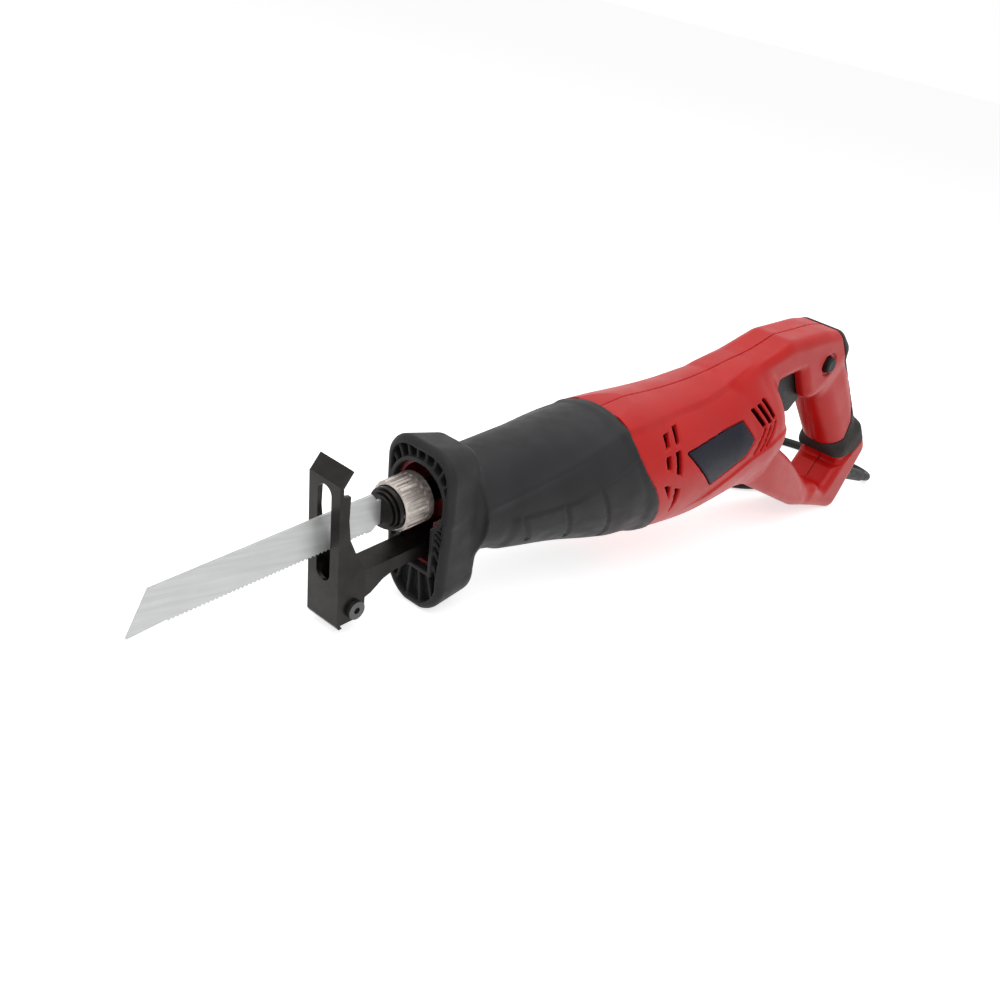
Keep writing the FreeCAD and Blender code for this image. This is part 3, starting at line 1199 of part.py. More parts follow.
def housing():
    """Both halves of the motor housing and handle, as one hollow shell before it is parted."""
    body = common("shell_body", body_loft("shell_outside", "0"), behind_edge("shell_start"))
    skin = fuse("shell_skin", body, HANDLE_OUTSIDE)
    hollow_body = common("shell_hollow", body_loft("shell_inside", "shell_wall"),
                         box("shell_hollow_box", ("neck_x - 2", "stern_x - shell_wall"), ("-60", "60"),
                             ("-99", "60")))
    hollow = fuse("shell_room", hollow_body, handle_solid("handle_inside", "handle_wall"))
    lip_front = "bulkhead_front + bulkhead_thickness + seat_gap"
    lip = cut("shell_lip", common("lip_outside", body_loft("lip_skin", "boot_wall + seat_gap"),
                                  box("lip_box", (lip_front, "boot_edge_bottom_x + 8"), ("-60", "60"),
                                      ("-99", "60"))),
              body_loft("lip_inside", "boot_wall + 2.4"))
    stator_seat = rod("stator_seat", "x", "stator_radius + seat_gap", ("0", "400"), z=MOTOR_Z)
    ribs = [box("rib_front", ("stator_front + 3", "stator_front + 6"), ("-60", "60"), ("-99", "60")),
            box("rib_back", ("stator_front + stator_length - 7", "stator_front + stator_length - 4"),
                ("-60", "60"), ("-99", "60"))]
    stator_ribs = cut("stator_ribs",
                      common("ribs_inside", body_loft("rib_skin", "shell_wall - 0.4"),
                             fuse("rib_blocks", *ribs)), stator_seat)
    end_rib = cut("end_rib", common("end_rib_inside", body_loft("end_rib_skin", "shell_wall - 0.4"),
                                    box("end_rib_block",
                                        ("rear_bearing_front - 4.9",
                                         "rear_bearing_front + motor_bearing_width"), ("-60", "60"), ("-99",
                                         "60"))),
                  rod("rear_seat", "x", "motor_bearing_radius + seat_gap",
                      ("rear_bearing_front - seat_gap", "400"), z=MOTOR_Z),
                  rod("rear_hole", "x", "6", ("0", "400"), z=MOTOR_Z),
                  rod("wire_hole", "x", "5", ("0", "400"), z="rump_z + 25"))
    posts = common("post_ends", fuse("post_rods", *POSTS),
                   fuse("post_limit", body_loft("post_skin", "shell_wall - 1.3"), HANDLE_CORE))
    cradle = grip_frame(cut("switch_cradle",
                            box("cradle_rib", ("20", "27"),
                                ("-handle_width / 2 + handle_wall - 1",
                                 "handle_width / 2 - handle_wall + 1"),
                                ("-16", "-12")),
                            box("cradle_room", ("0", f"{SWITCH_X} + switch_depth + seat_gap"),
                                ("-switch_width / 2 - seat_gap", "switch_width / 2 + seat_gap"), ("-60",
                                                                                                  "60"))))
    whole = fuse("shell_with_ribs", cut("shell_walls", skin, hollow), lip, stator_ribs, end_rib, posts,
                 cradle)
    vents = cut("vent_tool",
                fuse("vent_slabs",
                     *[slab("vent_" + name, outline(f"vent_{name}_edge", edge), "80") for name,
                       edge in VENTS.items()]),
                box("vent_keep", ("0", "520"), ("-14", "14"), ("-190", "60")))
    button_hole = rod("button_hole", "y", "button_radius + free_gap",
                      ("-60", "-handle_width / 2 + handle_wall + 1"), x="button_x", z="button_z")
    relief_hole = relief_frame(rod("relief_throat", "x", "4.6", ("-handle_wall - 8", "12")))
    badge_room = fuse("badge_room", *BADGES)
    return cut("shell_cut", whole, vents, trigger_room(), button_hole, relief_hole, badge_room, OVERMOULD,
               *SCREW_HOLES)


HOUSING = housing()
HALVES = side_boxes("half", "0")
node("housing_left", common("housing_left_half", HOUSING, HALVES[0]))
node("housing_right", common("housing_right_half", HOUSING, HALVES[1]))
node("grip_overmould", OVERMOULD)
node("badge_plates", *BADGES)
node("housing_screws", *SCREWS)
node("trigger", trigger())
node("speed_dial", speed_dial())
node("switch_body", switch_body())
node("lock_button", lock_button())


# ---------------------------------------------------------------------------------------------
# Strain relief
# ---------------------------------------------------------------------------------------------
def strain_relief():
    """Tapered rubber sleeve at the cord's exit, with a neck through the wall and a flange inside."""
    flange = rod("relief_flange", "x", "relief_root_radius + 1", ("-handle_wall - 5", "-handle_wall - 2"))
    neck = rod("relief_neck", "x", "4.5", ("-handle_wall - 2", "2.5"))
    collar_part = rod("relief_collar", "x", "relief_root_radius", ("1.6", "7"))
    tail = taper("relief_tail", "x", ("relief_root_radius - 0.6", "relief_tip_radius"),
                 ("6", "relief_length"))
    return relief_frame(fuse("relief_solid", flange, neck, collar_part, tail))


def cord_clamp():
    """Clamp bar that holds the cord inside the handle's corner."""
    bar = box("clamp_bar", ("-handle_wall - 9.5", "-handle_wall - 5.1"), ("-10", "10"), ("-4.4", "4.4"))
    return relief_frame(bar)


node("strain_relief", strain_relief())
node("cord_clamp", cord_clamp())
SAW_NODES = list(NODES)


# ---------------------------------------------------------------------------------------------
# Stance: nose down on the boot's flange and the corner of the handle
# ---------------------------------------------------------------------------------------------
doc.recompute()


def mesh_points(labels):
    """Surface points of some sub-parts, close enough together to find where they touch the bench."""
    points = []
    for part in SAW_NODES:
        if part.Label in labels:
            points += part.Shape.tessellate(0.05)[0]
    return points


def stance():
    """The Placement that stands the saw on the bench, centred over the middle of its box."""
    feet = mesh_points(("boot", "housing_left", "housing_right"))
    middle = size("motor_x")
    front = [point for point in feet if point.x < middle]
    back = [point for point in feet if point.x >= middle]
    angle = 0.0
    for _ in range(8):
        turn = FreeCAD.Rotation(Y_AXIS, -angle)
        low_front = min((turn.multVec(point) for point in front), key=lambda point: point.z)
        low_back = min((turn.multVec(point) for point in back), key=lambda point: point.z)
        angle -= math.degrees(math.atan2(low_back.z - low_front.z, low_back.x - low_front.x))
    turn = FreeCAD.Rotation(Y_AXIS, -angle)
    everything = [turn.multVec(point) for point in mesh_points([part.Label for part in SAW_NODES])]
    across = [point.x for point in everything]
    shift = V(-(min(across) + max(across)) / 2, 0, -min(point.z for point in everything))
    return FreeCAD.Placement(shift, turn)


STANCE = stance()
for part in SAW_NODES:
    part.Placement = STANCE
print("stance", STANCE.Base, math.degrees(STANCE.Rotation.Angle), STANCE.Rotation.Axis)


# ---------------------------------------------------------------------------------------------
# Cord, in the standing frame: along the bench behind the saw to a coil, and its plug
# ---------------------------------------------------------------------------------------------
CORD_ROUTE = [(313.3, 0, 9.0), (324, 0, 6.6), (334.5, 2.6, 4.2), (342.5, 12.5, 3.3), (344, 30, 3.3),
              (341, 54, 3.3), (330, 78, 3.3), (312, 97, 3.3), (292, 109, 3.3), (270, 113.3, 3.3),
              (248, 113.3, 3.3)]
COIL_LEAD = 30.0
COIL_TURN_RADII = (25.75, 45.25)
COIL_CENTRE = (CORD_ROUTE[-1][0] - COIL_LEAD, CORD_ROUTE[-1][1] - COIL_TURN_RADII[1])
COIL_LAYERS = (3.3, 9.8)


def rounded_path(points):
    """Straight runs joined by tangent arcs, each as large as its two runs allow, and the arcs' radii."""
    edges, radii, here = [], [], V(*points[0])
    for before, corner, after in zip(points, points[1:], points[2:]):
        back, ahead = V(*before) - V(*corner), V(*after) - V(*corner)
        half_turn = (math.pi - back.getAngle(ahead)) / 2
        reach = 0.45 * min(back.Length, ahead.Length)
        radius = reach / math.tan(half_turn)
        back.normalize()
        ahead.normalize()
        inwards = (back + ahead).normalize()
        start, end = V(*corner) + back * reach, V(*corner) + ahead * reach
        middle = V(*corner) + inwards * (radius / math.cos(half_turn) - radius)
        edges.append(Part.LineSegment(here, start).toShape())
        edges.append(Part.Arc(start, middle, end).toShape())
        radii.append(radius)
        here = end
    edges.append(Part.LineSegment(here, V(*points[-1])).toShape())
    return Part.Wire(edges), radii


def cord_tube():
    """The stretch of cord from the strain relief to the coil."""
    path, radii = rounded_path(CORD_ROUTE)
    start = V(*CORD_ROUTE[0])
    section = Part.Circle(start, V(*CORD_ROUTE[1]) - start, size("cord_radius"))
    tube = doc.addObject("Part::Feature", "cord_sweep")
    tube.Shape = path.makePipeShell([Part.Wire(section.toShape())], True, False)
    print("cord tube length", round(path.Length, 1), "radii", [round(radius, 1) for radius in radii])
    print("cord tube volume over section times length",
          tube.Shape.Volume / (math.pi * section.Radius**2 * path.Length))
    return tube


def cord_coil():
    """Outer shape of the coiled cord, with its two ends leading off at a tangent."""
    across, deep = (str(number) for number in COIL_CENTRE)
    low, high = (str(number) for number in COIL_LAYERS)
    inner, outer = (str(number) for number in COIL_TURN_RADII)
    turns = ring("coil_ring", "z", outer + " + cord_radius", inner + " - cord_radius",
                 (low + " - cord_radius", high + " + cord_radius"), x=across, y=deep)
    lead_y = f"{deep} + {outer}"
    lead_in = rod("coil_lead_in", "x", "cord_radius", (across, f"{across} + {COIL_LEAD}"), y=lead_y, z=low)
    lead_out = rod("coil_lead_out", "x", "cord_radius", (f"{across} - {COIL_LEAD}", across), y=lead_y,
                   z=high)
    return fuse("coil_solid", turns, lead_in, lead_out)


PLUG_LENGTH, PLUG_HALF_WIDTH, PLUG_HALF_HEIGHT = 34.0, 12.5, 9.7
PLUG_RELIEF = 20.0


def plug():
    """Moulded two-pin plug with a tapered neck, and its two flat pins."""
    front = COIL_CENTRE[0] - COIL_LEAD
    y, z = COIL_CENTRE[1] + COIL_TURN_RADII[1], COIL_LAYERS[1]
    neck_end, face = front - PLUG_RELIEF, front - PLUG_RELIEF - PLUG_LENGTH
    neck = taper("plug_neck", "x", ("cord_radius + 3.4", "cord_radius + 0.9"),
                 (f"{neck_end} - 3", str(front)), y=str(y), z=str(z))
    block = box("plug_block", (str(face), str(neck_end)),
                (f"{y - PLUG_HALF_WIDTH}", f"{y + PLUG_HALF_WIDTH}"),
                (f"{z - PLUG_HALF_HEIGHT}", f"{z + PLUG_HALF_HEIGHT}"))
    body = rounded("plug_round", block, 3.0, lambda edge: edge.CenterOfMass.x > face + 1)
    pins = []
    for side in (-1, 1):
        middle = y + side * 6.35
        pins.append(box(f"pin_{len(pins)}", (f"{face} - 16.5", f"{face}"),
                        (f"{middle - 0.75}", f"{middle + 0.75}"),
                        (f"{z - 3.15}", f"{z + 3.15}")))
    return fuse("plug_solid", body, neck), pins


node("cord_tube", cord_tube())
node("cord_coil", cord_coil())
PLUG, PINS = plug()
node("plug_body", PLUG)
node("plug_pins", *PINS)


# ---------------------------------------------------------------------------------------------
# Check every shape and write one file for each sub-part
# ---------------------------------------------------------------------------------------------
doc.recompute()
for item in doc.Objects:
    if "Invalid" in item.State or "Error" in item.State:
        raise RuntimeError(f"{item.Name} did not compute: {item.State}")
os.makedirs("parts", exist_ok=True)
for part in NODES:
    if part.Shape.isNull() or not part.Shape.isValid() or part.Shape.Volume <= 0:
        raise RuntimeError(f"{part.Label} has no sound shape")
    part.Shape.exportStep(f"parts/{part.Label}.step")
print(len(NODES), "sub-parts written")
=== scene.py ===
import json
import math

import bpy
import numpy as np
import openvdb
from mathutils import Matrix, Vector


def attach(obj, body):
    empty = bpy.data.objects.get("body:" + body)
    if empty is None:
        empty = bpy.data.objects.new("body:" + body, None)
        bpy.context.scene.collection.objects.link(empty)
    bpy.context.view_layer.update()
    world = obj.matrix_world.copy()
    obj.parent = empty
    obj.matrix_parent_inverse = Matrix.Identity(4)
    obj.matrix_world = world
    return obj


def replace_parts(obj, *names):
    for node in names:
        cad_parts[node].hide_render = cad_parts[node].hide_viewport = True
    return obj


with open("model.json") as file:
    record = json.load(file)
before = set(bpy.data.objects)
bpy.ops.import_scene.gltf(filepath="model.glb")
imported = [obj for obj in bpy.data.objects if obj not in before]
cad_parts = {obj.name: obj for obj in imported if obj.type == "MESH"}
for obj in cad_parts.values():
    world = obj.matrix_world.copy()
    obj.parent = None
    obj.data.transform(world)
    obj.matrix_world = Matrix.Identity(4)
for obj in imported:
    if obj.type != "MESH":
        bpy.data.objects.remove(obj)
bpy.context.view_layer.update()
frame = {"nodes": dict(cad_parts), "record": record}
NODES = frame["nodes"]
JOINTS = {joint["name"]: joint for joint in frame["record"]["behaviour"]["joints"]}
MM = 0.001

# ---------------------------------------------------------------------------------------------
# The saw's own frame: X back along the plunger from the clamp ring, -Y the user's left, Z up
# ---------------------------------------------------------------------------------------------
BACK = Vector(JOINTS["plunger_slide"]["axis"]).normalized()
SIDE = Vector((0, 1, 0))
UP = BACK.cross(SIDE).normalized()
RING = Vector(JOINTS["collar_twist"]["pos_m"])
SAW = Matrix((BACK, SIDE, UP)).transposed().to_4x4()
SAW.translation = RING


def saw_point(x, y, z):
    """A point of the saw's own frame, in millimetres, as a point of the scene."""
    return SAW @ Vector((x * MM, y * MM, z * MM))


# ---------------------------------------------------------------------------------------------
# Materials
# ---------------------------------------------------------------------------------------------
class Shader:
    """Short hand for building one node material."""

    def __init__(self, name, color, roughness, metallic=0.0, **extra):
        self.material = bpy.data.materials.new(name)
        self.material.use_nodes = True
        self.tree = self.material.node_tree
        self.surface = self.tree.nodes["Principled BSDF"]
        self.surface.inputs["Base Color"].default_value = (*color, 1)
        self.surface.inputs["Roughness"].default_value = roughness
        self.surface.inputs["Metallic"].default_value = metallic
        for label, number in extra.items():
            self.surface.inputs[label.replace("_", " ")].default_value = number
        self.place = self.node("ShaderNodeTexCoord").outputs["Object"]
        self.bumps = None

    def node(self, kind, **settings):
        """A node with its inputs set by name or linked."""
        made = self.tree.nodes.new(kind)
        for key, setting in settings.items():
            if hasattr(made, key):
                setattr(made, key, setting)
                continue
            socket = made.inputs[key.replace("_", " ")]
            if isinstance(setting, bpy.types.NodeSocket):
                self.tree.links.new(setting, socket)
            else:
                socket.default_value = setting
        return made

    def noise(self, scale, detail=3.0, stretch=(1, 1, 1)):
        """Noise in metres, stretched along the axes of the saw's own frame."""
        turn = self.node("ShaderNodeMapping")
        self.tree.links.new(self.place, turn.inputs["Vector"])
        turn.inputs["Rotation"].default_value = (0, SAW.to_euler().y * -1, 0)
        turn.inputs["Scale"].default_value = stretch
        made = self.node("ShaderNodeTexNoise", Scale=scale, Detail=detail)
        self.tree.links.new(turn.outputs["Vector"], made.inputs["Vector"])
        return made.outputs["Fac"]

    def between(self, factor, low, high, edges=(0.3, 0.7)):
        """A number or colour that runs from low to high as the factor passes its two edges."""
        ramp = self.node("ShaderNodeMapRange", From_Min=edges[0], From_Max=edges[1])
        self.tree.links.new(factor, ramp.inputs["Value"])
        if isinstance(low, tuple):
            mix = self.node("ShaderNodeMix", data_type="RGBA")
            self.tree.links.new(ramp.outputs["Result"], mix.inputs["Factor"])
            mix.inputs[6].default_value = (*low, 1)
            mix.inputs[7].default_value = (*high, 1)
            return mix.outputs[2]
        ramp.inputs["To Min"].default_value = low
        ramp.inputs["To Max"].default_value = high
        return ramp.outputs["Result"]

    def vary(self, socket, value):
        """Drive an input of the surface."""
        self.tree.links.new(value, self.surface.inputs[socket])
        return self

    def bump(self, height, distance, strength=1.0):
        """Add a relief to the surface, in metres."""
        relief = self.node("ShaderNodeBump", Distance=distance, Strength=strength)
        self.tree.links.new(height, relief.inputs["Height"])
        if self.bumps:
            self.tree.links.new(self.bumps, relief.inputs["Normal"])
        self.bumps = relief.outputs["Normal"]
        self.tree.links.new(self.bumps, self.surface.inputs["Normal"])
        return self


def red_plastic():
    made = Shader("red_plastic", (0.62, 0.022, 0.022), 0.36, Specular_IOR_Level=0.25)
    cloud = made.noise(30, 3)
    made.vary("Base Color", made.between(cloud, (0.54, 0.009, 0.008), (0.62, 0.014, 0.011)))
    made.vary("Roughness", made.between(made.noise(90), 0.33, 0.42))
    return made.bump(made.noise(2600, 2), 0.00002, 0.35).material


def boot_rubber():
    made = Shader("boot_rubber", (0.03, 0.03, 0.032), 0.5, Specular_IOR_Level=0.16)
    made.vary("Base Color", made.between(made.noise(35, 4), (0.022, 0.022, 0.024), (0.034, 0.034, 0.036)))
    made.vary("Roughness", made.between(made.noise(140, 4), 0.44, 0.6))
    return made.bump(made.noise(1800, 3), 0.00004, 0.5).material


def grip_rubber():
    made = Shader("grip_rubber", (0.035, 0.03, 0.028), 0.6, Specular_IOR_Level=0.16)
    made.vary("Base Color", made.between(made.noise(40, 4), (0.03, 0.026, 0.024), (0.045, 0.04, 0.037)))
    made.vary("Roughness", made.between(made.noise(200, 3), 0.55, 0.7))
    return made.bump(made.noise(2200, 3), 0.00005, 0.6).material


def black_oxide():
    made = Shader("black_oxide", (0.03, 0.026, 0.024), 0.32, 0.85)
    made.vary("Base Color", made.between(made.noise(60, 5), (0.012, 0.011, 0.0105), (0.028, 0.024, 0.022)))
    made.vary("Roughness", made.between(made.noise(300, 5), 0.26, 0.42))
    return made.bump(made.noise(900, 4), 0.00002, 0.4).material


def blade_steel():
    made = Shader("blade_steel", (0.60, 0.63, 0.62), 0.42, 0.55)
    grain = made.noise(500, 2, (0.05, 1, 1))
    made.vary("Base Color", made.between(grain, (0.52, 0.53, 0.525), (0.60, 0.61, 0.605)))
    made.vary("Roughness", made.between(made.noise(120, 4), 0.36, 0.48))
    return made.bump(grain, 0.00001, 0.3).material


def clamp_metal():
    made = Shader("clamp_metal", (0.47, 0.40, 0.36), 0.33, 0.9)
    made.vary("Base Color", made.between(made.noise(160, 5), (0.33, 0.29, 0.265), (0.49, 0.44, 0.41)))
    made.vary("Roughness", made.between(made.noise(700, 4), 0.26, 0.46))
    return made.bump(made.noise(1600, 3), 0.00003, 0.5).material


def plain(name, color, roughness, metallic=0.0, grain=900, stretch=(1, 1, 1), gloss=0.5):
    """A material with a fine grain and slight changes of colour and gloss."""
    made = Shader(name, color, roughness, metallic, Specular_IOR_Level=gloss)
    darker = tuple(0.82 * channel for channel in color)
    lighter = tuple(min(1.0, 1.15 * channel) for channel in color)
    made.vary("Base Color", made.between(made.noise(70, 4, stretch), darker, lighter))
    smoother, rougher = roughness * 0.85, min(1, roughness * 1.2)
    made.vary("Roughness", made.between(made.noise(260, 3, stretch), smoother, rougher))
    return made.bump(made.noise(grain, 3, stretch), 0.00003, 0.5).material


MATERIALS = {
    "blade_steel": blade_steel(),
    "clamp_metal": clamp_metal(),
    "black_steel": black_oxide(),
    "tool_steel": plain("tool_steel", (0.42, 0.42, 0.43), 0.3, 1.0),
    "boot_rubber": boot_rubber(),
    "grip_rubber": grip_rubber(),
    "housing_red": red_plastic(),
    "lining_red": plain("lining_red", (0.20, 0.016, 0.014), 0.5),
    "badge_navy": plain("badge_navy", (0.005, 0.006, 0.017), 0.36, gloss=0.15),
    "black_plastic": plain("black_plastic", (0.014, 0.014, 0.014), 0.45, gloss=0.2),
    "insulator": plain("insulator", (0.16, 0.12, 0.08), 0.6),
    "cast_metal": plain("cast_metal", (0.55, 0.55, 0.56), 0.5, 0.9, grain=500),
    "copper": plain("copper", (0.55, 0.22, 0.10), 0.35, 1.0),
    "bronze": plain("bronze", (0.45, 0.30, 0.14), 0.45, 1.0),
    "lamination": plain("lamination", (0.30, 0.30, 0.31), 0.45, 0.9, grain=1500, stretch=(6, 0.2, 0.2)),
    "carbon": plain("carbon", (0.03, 0.03, 0.033), 0.5, 0.2),
    "screw_steel": plain("screw_steel", (0.10, 0.10, 0.10), 0.35, 0.9),
    "cord_rubber": plain("cord_rubber", (0.014, 0.014, 0.014), 0.5, gloss=0.2),
    "pin_brass": plain("pin_brass", (0.72, 0.55, 0.26), 0.25, 1.0),
}


def dress(piece, slot):
    """Give a piece the one material of a slot."""
    piece.data.materials.clear()
    piece.data.materials.append(MATERIALS[slot])


def bevel(piece, width):
    """Round a piece's hard edges, by a width in millimetres."""
    rounding = piece.modifiers.new("round", "BEVEL")
    rounding.width = width * MM
    rounding.segments = 2
    rounding.limit_method = "ANGLE"
    rounding.angle_limit = math.radians(30)
    rounding.harden_normals = True


# How far the hard edges of the CAD nodes that stay in sight are rounded
EDGE_WIDTHS = {"blade": 0.12, "shoe": 0.45, "shoe_bar": 0.4, "shoe_pivot_screw": 0.25, "shoe_pivot_nut": 0.3,
               "blade_clamp_collar": 0.25, "blade_clamp_sleeve": 0.25, "plunger": 0.3, "trigger": 0.4,
               "lock_button": 0.3, "speed_dial": 0.2, "nose_cup": 0.3, "plug_body": 0.4, "plug_pins": 0.4,
               "gear_case": 0.5}
for entry in frame["record"]["subparts"]:
    dress(NODES[entry["node"]], entry["material_slot"])
    if entry["node"] in EDGE_WIDTHS:
        bevel(NODES[entry["node"]], EDGE_WIDTHS[entry["node"]])


# ---------------------------------------------------------------------------------------------
# Moulded shells: distance fields on a grid in the saw's own frame, in millimetres
# ---------------------------------------------------------------------------------------------
SKIN_STEP = 0.7


class Field:
    """A box of evenly spaced points, with x, y and z as arrays that broadcast over it."""

    def __init__(self, low, high, step):
        axes = [np.arange(a, b + step, step, dtype=np.float32) for a, b in zip(low, high)]
        self.low, self.step = low, step
        self.x, self.y, self.z = axes[0][:, None, None], axes[1][None, :, None], axes[2][None, None, :]

    def mesh(self, name, distance):
        """The surface where the distance is nought, as a new smooth mesh object."""
        grid = openvdb.FloatGrid(background=3.0)
        grid.copyFromArray(np.array(np.broadcast_to(distance, self.shape()), dtype=np.float32, order="C"))
        points, triangles, quads = grid.convertToPolygons(isovalue=0.0, adaptivity=0.0)
        places = points * self.step + np.array(self.low)
        turn = np.array(SAW.to_3x3())
        places = places @ turn.T * MM + np.array(SAW.translation)
        made = bpy.data.meshes.new(name)
        faces = [tuple(face) for face in triangles[:, ::-1]] + [tuple(face) for face in quads[:, ::-1]]
        made.from_pydata([tuple(place) for place in places], [], faces)
        made.polygons.foreach_set("use_smooth", [True] * len(made.polygons))
        made.update()
        piece = bpy.data.objects.new(name, made)
        bpy.context.scene.collection.objects.link(piece)
        return piece

    def shape(self):
        """How many points the box has along each axis."""
        return (self.x.size, self.y.size, self.z.size)


def soft_min(first, second, blend):
    """The union of two distances, with a fillet."""
    share = np.clip(0.5 + 0.5 * (second - first) / blend, 0, 1)
    return second * (1 - share) + first * share - blend * share * (1 - share)


def soft_max(first, second, blend):
    """What two distances share, with a rounded edge."""
    return -soft_min(-first, -second, blend)


def rise(distance, width):
    """A smooth step from 0 to 1 as a distance goes from -width/2 to width/2."""
    share = np.clip(distance / width + 0.5, 0, 1)
    return share * share * (3 - 2 * share)


def polygon(x, z, corners):
    """Signed distance to a polygon in the X-Z plane, negative inside."""
    nearest = np.full(np.broadcast(x, z).shape, 1e9, dtype=np.float32)
    inside = np.zeros(nearest.shape, dtype=bool)
    for (ax, az), (bx, bz) in zip(corners, corners[1:] + corners[:1]):
        dx, dz = bx - ax, bz - az
        along = np.clip(((x - ax) * dx + (z - az) * dz) / (dx * dx + dz * dz), 0, 1)
        nearest = np.minimum(nearest, (x - ax - along * dx) ** 2 + (z - az - along * dz) ** 2)
        if dz != 0:
            crossing = ((az > z) != (bz > z)) & (x < dx * (z - az) / dz + ax)
            inside ^= crossing
    return np.where(inside, -1, 1) * np.sqrt(nearest)


def rounded_polygon(field, corners, radius):
    """A polygon's distance with its corners rounded, by averaging it over a small square."""
    flat = polygon(field.x[:, 0, :], field.z[0], corners)
    reach = max(1, int(radius * 0.62 / field.step))
    weights = np.hanning(2 * reach + 3)[1:-1]
    weights /= weights.sum()
    for axis in (0, 1):
        padded = np.pad(flat, [(reach, reach) if i == axis else (0, 0) for i in range(2)], mode="edge")
        flat = np.apply_along_axis(lambda line: np.convolve(line, weights, "valid"), axis, padded)
    return flat[:, None, :].astype(np.float32)


def plate(outline, half_width, y, rounding):
    """An outline of the X-Z plane thickened to both sides, with rounded rims."""
    across = np.maximum(outline + rounding, 0)
    deep = np.maximum(np.abs(y) - half_width + rounding, 0)
    inner = np.minimum(np.maximum(outline + rounding, np.abs(y) - half_width + rounding), 0)
    return inner + np.sqrt(across * across + deep * deep) - rounding


# Body sections: distance back, height of the centre and radius
STATIONS = [(34, -12, 25), (60, -16, 28), (90, -20.5, 31.3), (120, -26, 35.4), (150, -32, 38), (180, -37, 38.8),
            (210, -39, 38), (240, -39, 37.4), (264, -39.5, 36.6), (279, -40, 32.5), (287, -41, 26)]


def smooth_through(x, knots, values):
    """A curve through given points, with the slope of its neighbours at each."""
    knots, values = np.array(knots, float), np.array(values, float)
    slopes = np.gradient(values, knots)
    i = np.clip(np.searchsorted(knots, x) - 1, 0, len(knots) - 2)
    gap = knots[i + 1] - knots[i]
    t = np.clip((x - knots[i]) / gap, 0, 1)
    before = (2 * t**3 - 3 * t**2 + 1) * values[i] + (t**3 - 2 * t**2 + t) * gap * slopes[i]
    after = (3 * t**2 - 2 * t**3) * values[i + 1]
    return (before + after + (t**3 - t**2) * gap * slopes[i + 1]).astype(np.float32)


def round_body(field):
    """Distance to the long round body."""
    knots = [station[0] for station in STATIONS]
    centre = smooth_through(field.x, knots, [station[1] for station in STATIONS])
    radius = smooth_through(field.x, knots, [station[2] for station in STATIONS])
    return np.sqrt(field.y**2 + (field.z - centre) ** 2) - radius


def boot_end(field):
    """How far behind the boot's slanted rear edge a point is: the edge dips forward at the side."""
    bend = 6.0 * np.exp(-(((field.z + 14) / 16) ** 2)) * rise(np.abs(field.y) - 14, 24)
    edge = 136 + 27 * (10 - field.z) / 85 - bend
    return (field.x - edge) * 0.95


HANDLE_EDGE = [(240, -3), (300, 5), (342, 1.2), (361, -3), (377, -20), (431, -107), (400, -147), (335, -119),
               (258, -72), (240, -64)]
LOOP_EDGE = [(292, -18), (286, -53), (382, -124), (396, -111), (352, -50), (328, -40), (317, -18)]
GRIP_TOP = (327, -40)
GRIP_LEAN = math.atan2(26, 37)


def grip_axes(x, z):
    """Distance into the grip from its front face, and distance up along it."""
    into = (x - GRIP_TOP[0]) * math.cos(GRIP_LEAN) + (z - GRIP_TOP[1]) * math.sin(GRIP_LEAN)
    along = -(x - GRIP_TOP[0]) * math.sin(GRIP_LEAN) + (z - GRIP_TOP[1]) * math.cos(GRIP_LEAN)
    return into, along


HANDLE_HALF_WIDTH, BRANCH_SWELL, HANDLE_ROUNDING = 17.2, 7.9, 6.5
GRIP_HALF_WIDTH, GRIP_ROUNDING = 15.6, 13.5
GRIP_UPPER_END, GRIP_LOWER_END = -10, -84


def handle_width(field):
    """Half width of the handle: the lower branch swells towards the body."""
    swell = rise(330 - field.x - 0.35 * (field.z + 90), 80) * rise(-44 - field.z, 24)
    return HANDLE_HALF_WIDTH + BRANCH_SWELL * swell


def handle(field, inset=0.0):
    """The D handle: boxy above and below, with a nearly oval section along the grip."""
    rim = rounded_polygon(field, HANDLE_EDGE, 9)
    opening = rounded_polygon(field, LOOP_EDGE, 7)
    outline = np.maximum(rim, -opening) + inset
    into, along = grip_axes(field.x, field.z)
    oval = rise(GRIP_UPPER_END - along, 16) * rise(along - GRIP_LOWER_END, 12) * rise(into + 20, 20)
    boxy = plate(outline, handle_width(field) - inset, field.y, HANDLE_ROUNDING)
    round_grip = plate(outline, GRIP_HALF_WIDTH - inset, field.y, GRIP_ROUNDING - inset)
    return boxy + (round_grip - boxy) * oval


# Outlines in the side view: air slots, the grooves below the rear three, and the badge
VENTS = [[(161, -7), (166, -7), (162.6, -13), (158.7, -13)],
         [(157, -16), (161.4, -16), (159.7, -23), (156.4, -21.4)],
         [(171, -6.5), (176, -6.5), (171.7, -13.4), (168, -13)],
         [(166, -16), (170.6, -16), (168, -28), (164, -26)],
         [(154, -30), (158.5, -31.5), (159, -38.5)],
         [(163, -34), (167.5, -36), (167, -43), (165.3, -50)],
         [(242, -16), (245.6, -16), (253.4, -27), (250, -27.4)],
         [(248.6, -15), (252, -15), (259.6, -26.6), (256.4, -27.2)],
         [(254.6, -14), (257.8, -14), (264.6, -25.6), (261.6, -26.2)]]
CHEVRON_FEET = [((251.5, -29), (241, -39.5)), ((257, -29), (247.5, -39.5)), ((263.5, -28), (253, -38.5))]
CHEVRON_RADIUS, CHEVRON_DEPTH = 1.15, 2.2
BADGE_EDGE = [(176, -19.3), (231, -18.5), (240, -31.3), (230.5, -38), (198, -44.3)]


